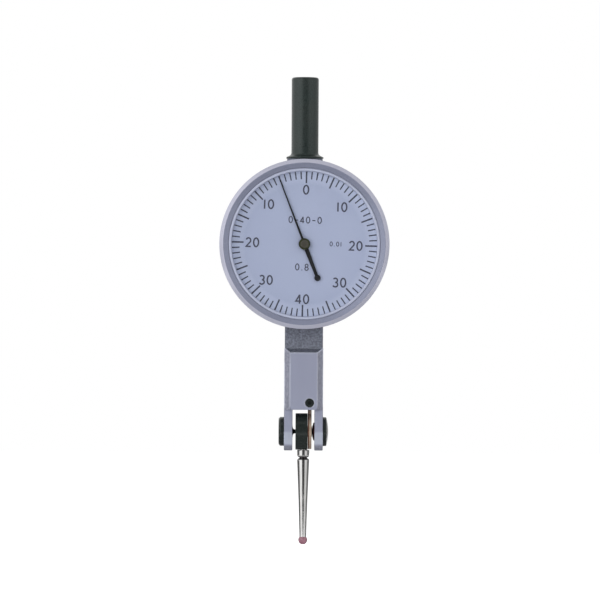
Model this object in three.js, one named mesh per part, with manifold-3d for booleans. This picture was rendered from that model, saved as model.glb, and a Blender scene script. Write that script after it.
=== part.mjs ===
// A dial test indicator: a round head on a stem, a forked nose below it, and a ball-tipped stylus
// that swings a lever, a sector gear, a crown gear and the pointer.
// Millimetres. Z is up along the stem, the dial faces -Y, and the origin is the centre of the
// stem's free end.
import * as THREE from 'three';
import { mergeVertices } from 'three/addons/utils/BufferGeometryUtils.js';
import Module from 'manifold-3d';

const wasm = await Module();
wasm.setup();

// Stem and its collar
const stemDiameter = 6;
const stemLength = 17.15;
const stemChamfer = 0.4;
const collarDiameter = 8.3;
const collarThickness = 0.85;
const collarChamfer = 0.22;
const pegDiameter = 4;
const pegLength = 2.1;

// Distances between the main axes
const bezelDiameter = 37.44;
const collarToBezel = 0.28;
const pivotDrop = 41.5;

// Clearances
const fittedGap = 0.03;
const runningGap = 0.05;
const bezelRunningGap = 0.08;
const faceGap = 0.05;
const workingGap = 0.2;
const cutOverrun = 0.5;

// Gear train: lever pin, sector, cross arbor pinion, crown gear, centre pinion
const leverArm = 9;
const sectorTail = 4.5;
const sectorFullTeeth = 168;
const sectorTeethEachSide = 2;
const crossPinionTeeth = 12;
const crownTeeth = 54;
const crownModule = 0.12;
const centrePinionTeeth = 8;
const crownFaceWidth = 0.5;
const sectorBacklash = 0.06;
const crownBacklash = 0.04;
const pressureAngle = THREE.MathUtils.degToRad(20);
const addendumShare = 0.85;
const sectorAddendumShare = 0.7;
const dedendumShare = 1.2;

// Depth of the head, from the mechanism's plane to the front
const plateGap = 0.21;
const plateThickness = 0.9;
const hairspringGap = 0.3;
const hairspringHeight = 0.4;
const dialGap = 0.7;
const dialThickness = 0.3;
const pointerGap = 0.3;
const pointerThickness = 0.2;
const crystalGap = 0.7;
const crystalThickness = 0.7;

// Head case
const coverGap = 0.11;
const headInset = 0.72;
const headWall = 1.8;
const headEdgeChamfer = 0.3;
const spigotWall = 1.0;
const spigotLength = 1.9;
const ledgeWidth = 3;
const ledgeThickness = 1.1;
const coverRecessWall = 0.8;
const coverRecessDepth = 0.8;
const neckInset = 0.08;
const neckBackStep = 0.3;
const neckWall = 0.72;
const lugRadius = 1.2;
const lugInset = 0.6;
const lugHoleDepth = 3;

// Bezel, from the rear edge to the crystal ring
const bezelRearGap = 0.2;
const bezelRearChamfer = 0.3;
const bezelWall = 2.22;
const bezelSeatWidth = 0.25;
const bezelCrestInset = 0.95;
const bezelCrestDepth = 0.9;
const bezelRoundWidth = 0.72;
const bezelSlopeWidth = 1.0;
const bezelSlopeDrop = 0.62;
const grooveDepth = 0.5;
const retainerHeight = 0.4;
const retainerPlay = 0.15;
const retainerGapAngle = THREE.MathUtils.degToRad(14);
const crystalRingWidth = 0.72;
const crystalRingLip = 0.3;
const crystalRingProud = 0.22;
const crystalRingChamfer = 0.3;
const dialHoleDiameter = 2.4;

// Movement plate, bridges, cock and bearings
const plateScrewInset = 1.1;
const bridgeToPinion = 0.53;
const bridgeThickness = 1;
const bridgeHeight = 3;
const bridgeRise = 0.95;
const bridgeFootLength = 2.2;
const bridgeFootThickness = 0.8;
const cockThickness = 0.6;
const cockGap = 0.24;
const cockWidth = 1.5;
const cockArmOffset = 0.55;
const cockReach = 4.4;
const cockFootLength = 2.6;
const cockFootWidth = 2.4;
const cockEyeRadius = 0.5;
const bearingRadius = 0.6;
const centreBearingRadius = 0.75;
const cockBearingRadius = 0.32;

// Arbors
const crossArborRadius = 0.45;
const crossPivotRadius = 0.2;
const crossPinionWidth = 1;
const crownDiscThickness = 0.5;
const centreArborRadius = 0.3;
const centrePivotRadius = 0.14;
const centrePinionWidth = 0.64;
const sectorArborRadius = 0.5;
const sectorPivotRadius = 0.3;
const sectorBearingRadius = 0.8;
const sectorThickness = 0.4;
const sectorSideGap = 0.18;
const sectorHubRadius = 1.3;
const sectorArmWidth = 1.4;
const sectorRimDepth = 1.2;
const tailWidth = 2;
const tailOverreach = 0.9;
const colletRadius = 0.75;
const colletHeight = 0.8;
const hairspringTurns = 5;
const hairspringStrip = 0.12;
const hairspringOuterRadius = 3.9;
const studRadius = 0.35;

// Pointer
const pointerAngle = THREE.MathUtils.degToRad(-21.4);
const pointerTipGap = 0.5;
const pointerTipWidth = 0.18;
const pointerRootWidth = 0.5;
const pointerEyeRadius = 0.95;
const pointerTailWidth = 0.75;
const counterweightReach = 8;
const counterweightRadius = 0.75;
const capRadius = 1.28;
const capHeight = 0.4;

// Fork body: nose, prongs and the tongue in the neck
const noseWidth = 8.6;
const noseHeight = 13.6;
const noseRootHeight = 4.9;
const noseBevelWidth = 1.3;
const noseBevelDepth = 0.9;
const noseTopBevel = 1;
const noseWall = 1.55;
const noseFrontWall = 1.65;
const noseFloor = 1.2;
const prongThickness = 1.87;
const prongDepth = 7;
const prongReach = 4.3;
const prongEndBevel = 1.1;
const tongueLength = 4.4;
const tongueDepth = 6;
const tongueHollowDepth = 4.4;
const coverSeatWidth = 0.65;
const coverThickness = 0.9;
const coverLandHeight = 1.8;
const coverEndWall = 0.5;
const leverSlotDepth = 2.2;
const neckScrewDrop = 2.2;

// Lever, axle, hub and stylus
const leverThickness = 0.7;
const leverEyeRadius = 3.9;
const leverArmWidth = 1.5;
const leverTopWidth = 1.1;
const leverTopReach = 0.8;
const leverPinRadius = 0.4;
const leverPinOverreach = 0.05;
const axleRadius = 1.2;
const hubRadius = 4.05;
const hubSideGap = 0.81;
const hubEdgeChamfer = 0.15;
const pivotHeadRadius = 3.22;
const pivotHeadHeight = 1.2;
const pivotHeadChamfer = 0.35;
const pivotShankRadius = 1.6;
const pivotConeEntry = 0.57;
const pivotTipRadius = 0.12;
const pivotNoseRadius = 0.45;
const pivotFlareRadius = 0.75;
const pivotFlareStart = 0.4;
const pivotFlareShare = 0.3;
const pivotRightTipRadius = 0.8;
const coneSeatGap = 0.07;
const bushRadius = 2;
const bushThickness = 0.47;
const bushGap = 0.06;
const bushCrownShare = 0.55;
const bushCrownDrop = 0.26;
const stylusRadius = 1.24;
const stylusNeckLength = 1.78;
const stylusGrooveRadius = 0.82;
const stylusGrooveWidth = 0.12;
const stylusRoundSteps = 4;
const stylusMidRadius = 0.9;
const stylusMidReach = 15.5;
const stylusTipRadius = 0.67;
const stylusStubShare = 0.61;
const stylusStubLength = 1.9;
const stylusLength = 24.06;
const ballRadius = 1;
const adjusterOffset = 0.13;
const adjusterHeight = 6.3;
const adjusterRadius = 0.97;
const adjusterLength = 1.4;
const adjusterHexRadius = 0.5;
const adjusterHexDepth = 0.7;

// Screws
const coverScrew = { head: 1.15, height: 0.5, shank: 0.5, length: 3.2 };
const plateScrew = { head: 1.0, height: 0.45, shank: 0.5, length: 1.7 };
const bridgeScrew = { head: 0.8, height: 0.45, shank: 0.4, length: 1.4 };
const neckScrew = { head: 0.9, height: 0.32, shank: 0.45, length: 1.1 };
const noseScrew = { head: 0.85, height: 0.35, shank: 0.42, length: 1.6 };
const screwSlotWidthShare = 0.28;
const screwSlotDepthShare = 0.55;

// Facets
const ringSegments = 48;
const wheelSegments = 28;
const rodSegments = 18;
const smallSegments = 12;
const ballSegments = 20;
const hairspringStepsPerTurn = 18;
const domeSteps = 4;
const mergeTolerance = 1e-5;

// Sizes worked out from the ones above
const bezelRadius = bezelDiameter / 2;
const headRadius = bezelRadius - headInset;
const headInner = headRadius - headWall;
const dialCentreZ = -(stemLength + collarThickness + collarToBezel + bezelRadius);
const sectorModule = ((pivotDrop - leverArm - sectorTail) * 2) / (sectorFullTeeth + crossPinionTeeth);
const sectorPitchRadius = (sectorModule * sectorFullTeeth) / 2;
const crossPinionRadius = (sectorModule * crossPinionTeeth) / 2;
const crownRadius = (crownModule * crownTeeth) / 2;
const centrePinionRadius = (crownModule * centrePinionTeeth) / 2;
const crownOuter = crownRadius + crownFaceWidth / 2;

const plateBackY = -(crownOuter + plateGap);
const plateFrontY = plateBackY - plateThickness;
const hairspringBackY = plateFrontY - hairspringGap;
const hairspringFrontY = hairspringBackY - hairspringHeight;
const dialBackY = hairspringFrontY - dialGap;
const dialFrontY = dialBackY - dialThickness;
const pointerBackY = dialFrontY - pointerGap;
const pointerFrontY = pointerBackY - pointerThickness;
const crystalBackY = pointerFrontY - crystalGap;
const crystalFrontY = crystalBackY - crystalThickness;
const crystalRingFrontY = crystalFrontY - crystalRingProud;
const shoulderY = plateBackY;
const coverSeatY = crownOuter + coverGap;
const bodyBackY = coverSeatY + coverRecessDepth;
const bodyFrontY = -bodyBackY;
const neckBackY = bodyBackY - neckBackStep;
const coverRecessRadius = headRadius - coverRecessWall;

const bezelBore = bezelRadius - bezelWall;
const bezelFrontBore = bezelBore + bezelSeatWidth;
const bezelCrestY = crystalRingFrontY - bezelSlopeDrop;
const dialFitRadius = bezelFrontBore - fittedGap;
const crystalRingInner = dialFitRadius - crystalRingWidth;
const pointerLength = crystalRingInner - pointerTipGap;
const spigotRadius = bezelBore - bezelRunningGap;
const spigotFrontY = shoulderY - spigotLength;
const plateSeatRadius = spigotRadius - spigotWall;
const plateRadius = plateSeatRadius - runningGap;
const retainerY = (shoulderY + spigotFrontY) / 2 - retainerPlay;
const neckBottomZ = -(pivotDrop - noseRootHeight - noseHeight);
const collarBottomZ = bezelRadius + collarToBezel;

const noseTopZ = noseRootHeight + noseHeight;
const noseFloorZ = noseRootHeight + noseFloor;
const noseHalf = noseWidth / 2;
const neckHalf = noseHalf - neckInset;
const prongInner = noseHalf - prongThickness;
const sectorPivotZ = leverArm + sectorTail;
const bushInnerX = prongInner - bushThickness;
const leverOuterX = bushInnerX - bushGap;
const leverInnerX = leverOuterX - leverThickness;
const adjusterX = leverInnerX + adjusterOffset;
const hubLeftX = prongInner - hubSideGap;
const hubRightX = leverInnerX - faceGap;
const stylusStubRadius = hubRightX * stylusStubShare;
const cavityHalf = noseHalf - noseWall;
const sectorOuterX = cavityHalf - sectorSideGap;
const sectorInnerX = sectorOuterX - sectorThickness;
const crossPinionStart = (sectorInnerX + sectorOuterX - crossPinionWidth) / 2;
const bridgeInner = crossPinionStart + crossPinionWidth + bridgeToPinion;

// Lathe, prism and block solids
function toSolid(geometry) {
  const bare = geometry.clone();
  bare.deleteAttribute('normal');
  bare.deleteAttribute('uv');
  const merged = mergeVertices(bare, mergeTolerance);
  const index = merged.index.array;
  const kept = [];
  for (let i = 0; i < index.length; i += 3) {
    const [a, b, c] = [index[i], index[i + 1], index[i + 2]];
    if (a !== b && b !== c && c !== a) kept.push(a, b, c);
  }
  return new wasm.Manifold(
    new wasm.Mesh({
      numProp: 3,
      vertProperties: new Float32Array(merged.attributes.position.array),
      triVerts: new Uint32Array(kept),
    }),
  );
}

function toGeometry(solid) {
  const { vertProperties, triVerts, numProp } = solid.getMesh();
  const positions = new Float32Array((vertProperties.length / numProp) * 3);
  for (let i = 0; i * numProp < vertProperties.length; i += 1) {
    for (let k = 0; k < 3; k += 1) positions[i * 3 + k] = vertProperties[i * numProp + k];
  }
  const geometry = new THREE.BufferGeometry();
  geometry.setAttribute('position', new THREE.BufferAttribute(positions, 3));
  geometry.setIndex(Array.from(triVerts));
  geometry.computeVertexNormals();
  return geometry;
}

// A profile of [radius, height] points turned about Y. Rings close on themselves.
function turnedGeometry(profile, segments) {
  const points = profile.map(([radius, height]) => new THREE.Vector2(radius, height));
  if (THREE.ShapeUtils.area(points) < 0) points.reverse();
  const onAxis = points.findIndex((point, i) => point.x === 0 && points.at(i - 1).x === 0);
  if (onAxis >= 0) points.push(...points.splice(0, onAxis));
  else points.push(points[0].clone());
  return new THREE.LatheGeometry(points, segments);
}

function turnedY(profile, segments = rodSegments) {
  return toSolid(turnedGeometry(profile, segments));
}

function turnedX(profile, segments = rodSegments) {
  return toSolid(turnedGeometry(profile, segments).rotateZ(-Math.PI / 2));
}

function turnedZ(profile, segments = rodSegments) {
  return toSolid(turnedGeometry(profile, segments).rotateX(Math.PI / 2));
}

const rodProfile = (radius, from, to) => [[0, from], [radius, from], [radius, to], [0, to]];
const ringProfile = (inner, outer, from, to) => [[inner, from], [outer, from], [outer, to], [inner, to]];

function extrusion(outline, length) {
  const shape = new THREE.Shape(outline.map(([a, b]) => new THREE.Vector2(a, b)));
  return new THREE.ExtrudeGeometry(shape, { depth: length, bevelEnabled: false });
}

// An outline of [y, z] points drawn from one x to another
function prismX(outline, from, to) {
  const turn = new THREE.Matrix4().makeBasis(
    new THREE.Vector3(0, 1, 0),
    new THREE.Vector3(0, 0, 1),
    new THREE.Vector3(1, 0, 0),
  );
  return toSolid(extrusion(outline, to - from).applyMatrix4(turn).translate(from, 0, 0));
}

// An outline of [x, z] points drawn from the rear y to the front y
function prismY(outline, rear, front) {
  return toSolid(extrusion(outline, rear - front).rotateX(Math.PI / 2).translate(0, rear, 0));
}

// An outline of [x, y] points drawn from one z to another
function prismZ(outline, from, to) {
  return toSolid(extrusion(outline, to - from).translate(0, 0, from));
}

function block(low, high) {
  const size = high.map((value, i) => value - low[i]);
  const middle = high.map((value, i) => (value + low[i]) / 2);
  return toSolid(new THREE.BoxGeometry(...size).translate(...middle));
}

function arc(radius, from, to, steps, centre = [0, 0]) {
  return Array.from({ length: steps + 1 }, (_, i) => {
    const angle = from + ((to - from) * i) / steps;
    return [centre[0] + radius * Math.cos(angle), centre[1] + radius * Math.sin(angle)];
  });
}

// A slotted screw along Y, its head's underside at 0 and its head towards +Y
function screwSolid({ head, height, shank, length }) {
  const edge = height * screwSlotWidthShare;
  const slotHalf = (head * screwSlotWidthShare) / 2;
  const slotFloor = height * (1 - screwSlotDepthShare);
  const body = turnedY([
    [0, -length],
    [shank, -length],
    [shank, 0],
    [head, 0],
    [head, height - edge],
    [head - edge, height],
    [0, height],
  ], smallSegments);
  return body.subtract(
    block([-head - cutOverrun, slotFloor, -slotHalf], [head + cutOverrun, height + cutOverrun, slotHalf]),
  );
}

// A gear's outline: for each tooth a root, pitch and tip point on both flanks
function gearOutline({ teeth, pitchRadius, module, backlash, addendum, phase }) {
  const baseRadius = pitchRadius * Math.cos(pressureAngle);
  const tip = pitchRadius + addendum;
  const root = pitchRadius - module * dedendumShare;
  const involute = (radius) => {
    const angle = Math.acos(Math.min(1, baseRadius / Math.max(radius, baseRadius)));
    return Math.tan(angle) - angle;
  };
  const halfAngle = (radius) =>
    Math.PI / teeth / 2 - backlash / pitchRadius / 2 + involute(pitchRadius) - involute(radius);
  const flank = [root, pitchRadius, tip];
  const outline = [];
  for (let i = 0; i < teeth; i += 1) {
    const centre = phase + (2 * Math.PI * i) / teeth;
    const rising = flank.map((radius) => [radius, centre - halfAngle(radius)]);
    const falling = flank.map((radius) => [radius, centre + halfAngle(radius)]).reverse();
    for (const [radius, angle] of [...rising, ...falling]) {
      outline.push([radius * Math.cos(angle), radius * Math.sin(angle)]);
    }
  }
  return outline;
}

// Finishes
const finish = (color, roughness, metalness) =>
  new THREE.MeshStandardMaterial({ color, roughness, metalness, flatShading: true });
const blackOxide = () => finish(0x3a3f40, 0.45, 0.6);
const castMetal = () => finish(0x686c78, 0.75, 0.6);
const satinMetal = () => finish(0x9094a8, 0.4, 0.8);
const brightSteel = () => finish(0xd8d8dc, 0.2, 1);
const brass = () => finish(0xb58a5a, 0.35, 1);
const darkBronze = () => finish(0x5a3a40, 0.4, 0.8);
const dialPaint = () => finish(0xa2acc4, 0.6, 0);
const blackPaint = () => finish(0x1c1e20, 0.5, 0.1);
const bearingStone = () => finish(0x9a2a40, 0.2, 0);
const rubyBall = () => finish(0x96767f, 0.15, 0);
const clearCrystal = () => finish(0xe8f0f4, 0.05, 0);

const indicator = new THREE.Group();
const head = new THREE.Group();
const nose = new THREE.Group();
head.position.z = dialCentreZ;
nose.position.z = dialCentreZ - pivotDrop;
indicator.add(head, nose);

function addPiece(group, name, material, solid, position = [0, 0, 0], rotation = [0, 0, 0]) {
  const mesh = new THREE.Mesh(toGeometry(solid), material);
  mesh.name = name;
  mesh.position.set(...position);
  mesh.rotation.set(...rotation);
  group.add(mesh);
}

const facingFront = [Math.PI, 0, 0];
const facingRear = [0, 0, 0];
const facingRight = [0, 0, -Math.PI / 2];
const facingLeft = [0, 0, Math.PI / 2];
const mirrored = { left: -1, right: 1 };

// Points on a circle in the dial's plane, counted anticlockwise from +X
const around = (radius, degrees) => {
  const angle = THREE.MathUtils.degToRad(degrees);
  return [radius * Math.cos(angle), radius * Math.sin(angle)];
};
const lugPlaces = [90, 210, 330].map((degrees) => around(headInner - lugInset, degrees));
const plateScrewPlaces = [30, 150, 270].map((degrees) => around(plateSeatRadius - plateScrewInset, degrees));
const rodAt = ([x, z], radius, rear, front) =>
  turnedY(rodProfile(radius, front, rear), smallSegments).translate([x, 0, z]);

function buildStem() {
  const radius = stemDiameter / 2;
  const collar = collarDiameter / 2;
  const collarTop = -stemLength;
  const collarBottom = collarTop - collarThickness;
  const profile = [
    [0, 0],
    [radius - stemChamfer, 0],
    [radius, -stemChamfer],
    [radius, collarTop],
    [collar - collarChamfer, collarTop],
    [collar, collarTop - collarChamfer],
    [collar, collarBottom + collarChamfer],
    [collar - collarChamfer, collarBottom],
    [pegDiameter / 2, collarBottom],
    [pegDiameter / 2, collarBottom - pegLength],
    [0, collarBottom - pegLength],
  ];
  addPiece(indicator, 'stem', blackOxide(), turnedZ(profile, wheelSegments));
}

function buildHeadCase() {
  const ledgeBackY = shoulderY + ledgeThickness;
  const ledgeInner = headInner - ledgeWidth;
  const grooveLow = retainerY + retainerHeight / 2 + retainerPlay;
  const grooveHigh = retainerY - retainerHeight / 2 - retainerPlay;
  const ring = turnedY(
    [
      [ledgeInner, shoulderY],
      [plateSeatRadius, shoulderY],
      [plateSeatRadius, spigotFrontY],
      [spigotRadius, spigotFrontY],
      [spigotRadius, grooveHigh],
      [spigotRadius - grooveDepth, grooveHigh],
      [spigotRadius - grooveDepth, grooveLow],
      [spigotRadius, grooveLow],
      [spigotRadius, shoulderY],
      [headRadius - headEdgeChamfer, shoulderY],
      [headRadius, shoulderY + headEdgeChamfer],
      [headRadius, bodyBackY - headEdgeChamfer],
      [headRadius - headEdgeChamfer, bodyBackY],
      [coverRecessRadius, bodyBackY],
      [coverRecessRadius, coverSeatY],
      [headInner, coverSeatY],
      [headInner, ledgeBackY],
      [ledgeInner, ledgeBackY],
    ],
    ringSegments,
  );
  const hollow = turnedY(rodProfile(headInner, ledgeBackY, coverSeatY), ringSegments);
  const recess = turnedY(rodProfile(coverRecessRadius, coverSeatY, bodyBackY + cutOverrun), ringSegments);
  const half = neckHalf;
  const bossHalf = collarDiameter / 2 - collarChamfer;
  const neck = block([-half, shoulderY, neckBottomZ], [half, neckBackY, -headInner]);
  const boss = block([-bossHalf, shoulderY, headInner], [bossHalf, neckBackY, collarBottomZ]);
  let solid = ring.add(neck.add(boss).subtract(hollow).subtract(recess));
  for (const place of lugPlaces) solid = solid.add(rodAt(place, lugRadius, coverSeatY, ledgeBackY));

  const tongueOuter = half - neckWall;
  const tongueHalfDepth = tongueDepth / 2 + faceGap;
  const socketTop = neckBottomZ + tongueLength + workingGap;
  const channelHalf = tongueHollowDepth / 2;
  const pegHole = turnedZ(
    rodProfile(pegDiameter / 2 + fittedGap, collarBottomZ - pegLength - faceGap, collarBottomZ + cutOverrun),
  );
  solid = solid
    .subtract(
      block(
        [-tongueOuter, -tongueHalfDepth, neckBottomZ - cutOverrun],
        [tongueOuter, tongueHalfDepth, socketTop],
      ),
    )
    .subtract(
      block([-cavityHalf, -channelHalf, neckBottomZ], [cavityHalf, channelHalf, -headInner + cutOverrun]),
    )
    .subtract(pegHole);
  for (const place of lugPlaces) {
    solid = solid.subtract(
      rodAt(place, coverScrew.shank + fittedGap, coverSeatY + cutOverrun, coverSeatY - lugHoleDepth),
    );
  }
  for (const place of plateScrewPlaces) {
    const hole = rodAt(place, plateScrew.shank + fittedGap, ledgeBackY + cutOverrun, shoulderY - faceGap);
    solid = solid.subtract(hole);
  }
  const screwZ = neckBottomZ + neckScrewDrop;
  for (const side of Object.values(mirrored)) {
    const hole = turnedX(rodProfile(neckScrew.shank + fittedGap, 0, half + cutOverrun), smallSegments);
    const seat = turnedX(
      rodProfile(neckScrew.head + runningGap, half - neckScrew.height - faceGap, half + cutOverrun),
    );
    const cut = hole.add(seat).rotate([0, side > 0 ? 0 : 180, 0]).translate([0, 0, screwZ]);
    solid = solid.subtract(cut);
  }
  addPiece(head, 'head_case', castMetal(), solid);

  for (const [name, side] of Object.entries(mirrored)) {
    const x = side * (half - neckScrew.height);
    const facing = side > 0 ? facingRight : facingLeft;
    addPiece(head, `neck_screw_${name}`, brightSteel(), screwSolid(neckScrew), [x, 0, screwZ], facing);
  }
}

function buildRearCover() {
  const outerY = bodyBackY + headEdgeChamfer;
  const radius = coverRecessRadius - runningGap;
  let cover = turnedY(
    [
      [0, coverSeatY],
      [radius, coverSeatY],
      [radius, outerY - headEdgeChamfer],
      [radius - headEdgeChamfer, outerY],
      [0, outerY],
    ],
    ringSegments,
  );
  for (const place of lugPlaces) {
    const hole = rodAt(place, coverScrew.shank + runningGap, outerY + cutOverrun, coverSeatY - cutOverrun);
    cover = cover.subtract(hole);
  }
  addPiece(head, 'rear_cover', satinMetal(), cover);
  lugPlaces.forEach(([x, z], i) => {
    const place = [x, outerY, z];
    addPiece(head, `cover_screw_${i + 1}`, brightSteel(), screwSolid(coverScrew), place, facingRear);
  });
}

function buildMovementPlate() {
  let plate = turnedY(
    ringProfile(centreBearingRadius + fittedGap, plateRadius, plateFrontY, plateBackY),
    ringSegments,
  );
  const screwHoles = plateScrewPlaces.map((place) => [place, plateScrew.shank]);
  const bridgeScrewX = bridgeInner + bridgeThickness + bridgeFootLength / 2;
  for (const side of Object.values(mirrored)) screwHoles.push([[side * bridgeScrewX, 0], bridgeScrew.shank]);
  const cockScrewZ = cockReach + cockFootLength / 2;
  screwHoles.push([[-cockArmOffset, cockScrewZ], bridgeScrew.shank]);
  const studPlace = [0, -hairspringOuterRadius - studRadius];
  screwHoles.push([studPlace, studRadius]);
  for (const [place, radius] of screwHoles) {
    plate = plate.subtract(
      rodAt(place, radius + fittedGap, plateBackY + cutOverrun, plateFrontY - cutOverrun),
    );
  }
  addPiece(head, 'movement_plate', brass(), plate);
  plateScrewPlaces.forEach(([x, z], i) => {
    const place = [x, plateFrontY, z];
    addPiece(head, `plate_screw_${i + 1}`, brightSteel(), screwSolid(plateScrew), place, facingFront);
  });

  const stud = turnedY(rodProfile(studRadius, hairspringFrontY, plateBackY - faceGap), smallSegments);
  addPiece(head, 'hairspring_stud', brass(), stud, [studPlace[0], 0, studPlace[1]]);

  for (const [name, side] of Object.entries(mirrored)) {
    const half = bridgeHeight / 2;
    const footTop = plateBackY + bridgeFootThickness;
    const inner = bridgeInner;
    const outer = bridgeInner + bridgeThickness;
    const footEnd = outer + bridgeFootLength;
    const upright = block([inner, plateBackY, -half], [outer, bridgeRise, half]);
    const foot = block([inner, plateBackY, -half], [footEnd, footTop, half]);
    const bore = turnedX(
      rodProfile(bearingRadius + fittedGap, inner - cutOverrun, outer + cutOverrun),
      smallSegments,
    );
    const hole = rodAt(
      [bridgeScrewX, 0],
      bridgeScrew.shank + fittedGap,
      footTop + cutOverrun,
      plateBackY - cutOverrun,
    );
    const solid = upright.add(foot).subtract(bore).subtract(hole);
    const bridge = side > 0 ? solid : solid.mirror([1, 0, 0]);
    addPiece(head, `arbor_bridge_${name}`, brass(), bridge);
    const screwPlace = [side * bridgeScrewX, footTop, 0];
    addPiece(head, `bridge_screw_${name}`, brightSteel(), screwSolid(bridgeScrew), screwPlace, facingRear);
    const bearing = turnedX(
      ringProfile(crossPivotRadius + runningGap, bearingRadius, inner, outer),
      smallSegments,
    );
    const placed = side > 0 ? bearing : bearing.mirror([1, 0, 0]);
    addPiece(head, `cross_bearing_${name}`, bearingStone(), placed);
  }

  // The cock reaches down from above the centre, clear of the crown gear beside it
  const cockFrontY = -(crownRadius - centrePinionWidth / 2 - cockGap);
  const cockBackY = cockFrontY + cockThickness;
  const armLeft = -cockArmOffset - cockWidth / 2;
  const armRight = -cockArmOffset + cockWidth / 2;
  const arm = block([armLeft, cockFrontY, 0], [armRight, cockBackY, cockReach + cockFootLength]);
  const eye = rodAt([0, 0], cockEyeRadius, cockBackY, cockFrontY);
  const footLeft = -cockArmOffset - cockFootWidth / 2;
  const footRight = -cockArmOffset + cockFootWidth / 2;
  const foot = block(
    [footLeft, plateBackY, cockReach],
    [footRight, cockBackY, cockReach + cockFootLength],
  );
  const eyeHole = rodAt([0, 0], cockBearingRadius + fittedGap, cockBackY + cutOverrun, cockFrontY - cutOverrun);
  const screwHole = rodAt(
    [-cockArmOffset, cockScrewZ],
    bridgeScrew.shank + fittedGap,
    cockBackY + cutOverrun,
    plateBackY - cutOverrun,
  );
  addPiece(head, 'centre_cock', brass(), arm.add(eye).add(foot).subtract(eyeHole).subtract(screwHole));
  const cockScrew = { ...bridgeScrew, length: cockBackY - plateBackY + plateThickness / 2 };
  const cockScrewPlace = [-cockArmOffset, cockBackY, cockScrewZ];
  addPiece(head, 'cock_screw', brightSteel(), screwSolid(cockScrew), cockScrewPlace, facingRear);
  const cockBearing = ringProfile(centrePivotRadius + runningGap, cockBearingRadius, cockFrontY, cockBackY);
  addPiece(head, 'centre_bearing_rear', bearingStone(), turnedY(cockBearing, smallSegments));
  const plateBearing = ringProfile(
    centreArborRadius + runningGap,
    centreBearingRadius,
    plateFrontY,
    plateBackY,
  );
  addPiece(head, 'centre_bearing_front', bearingStone(), turnedY(plateBearing, smallSegments));
}

function buildBezel() {
  const rearY = shoulderY - bezelRearGap;
  const crestRadius = bezelRadius - bezelCrestInset;
  const slopeRadius = crestRadius - bezelSlopeWidth;
  const roundY = bezelCrestY + bezelCrestDepth;
  const grooveLow = retainerY + retainerHeight / 2 + retainerPlay;
  const grooveHigh = retainerY - retainerHeight / 2 - retainerPlay;
  const round = Array.from({ length: domeSteps + 1 }, (_, i) => {
    const angle = (Math.PI / 2) * (i / domeSteps);
    return [
      bezelRadius - bezelRoundWidth * (1 - Math.cos(angle)),
      roundY - bezelCrestDepth * Math.sin(angle),
    ];
  });
  const profile = [
    [bezelBore, rearY],
    [bezelRadius - bezelRearChamfer, rearY],
    [bezelRadius, rearY - bezelRearChamfer],
    ...round,
    [crestRadius, bezelCrestY],
    [slopeRadius, crystalRingFrontY],
    [bezelFrontBore, crystalRingFrontY],
    [bezelFrontBore, dialBackY],
    [bezelBore, dialBackY],
    [bezelBore, grooveHigh],
    [bezelBore + grooveDepth, grooveHigh],
    [bezelBore + grooveDepth, grooveLow],
    [bezelBore, grooveLow],
  ];
  addPiece(head, 'bezel', satinMetal(), turnedY(profile, ringSegments));

  const dial = turnedY(
    ringProfile(dialHoleDiameter / 2, dialFitRadius, dialFrontY, dialBackY),
    ringSegments,
  );
  addPiece(head, 'dial', dialPaint(), dial);

  const lipInner = crystalRingInner + crystalRingLip;
  const ring = turnedY(
    [
      [crystalRingInner, dialFrontY],
      [crystalRingInner, crystalBackY],
      [lipInner, crystalBackY],
      [lipInner, crystalRingFrontY + crystalRingChamfer],
      [dialFitRadius - faceGap, crystalRingFrontY],
      [dialFitRadius, crystalRingFrontY],
      [dialFitRadius, dialFrontY],
    ],
    ringSegments,
  );
  addPiece(head, 'crystal_ring', satinMetal(), ring);
  const crystal = turnedY(
    rodProfile(lipInner - fittedGap, crystalFrontY, crystalBackY),
    ringSegments,
  );
  addPiece(head, 'crystal', clearCrystal(), crystal);

  // The retaining ring is open at the top, so that it can be sprung into its grooves
  const inner = spigotRadius - grooveDepth + runningGap;
  const outer = bezelBore + grooveDepth - workingGap;
  const start = Math.PI / 2 + retainerGapAngle / 2;
  const end = Math.PI * 2 + Math.PI / 2 - retainerGapAngle / 2;
  const outline = [...arc(outer, start, end, ringSegments), ...arc(inner, end, start, ringSegments)];
  const retainer = prismY(outline, retainerY + retainerHeight / 2, retainerY - retainerHeight / 2);
  addPiece(head, 'bezel_retainer', brightSteel(), retainer);
}

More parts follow.
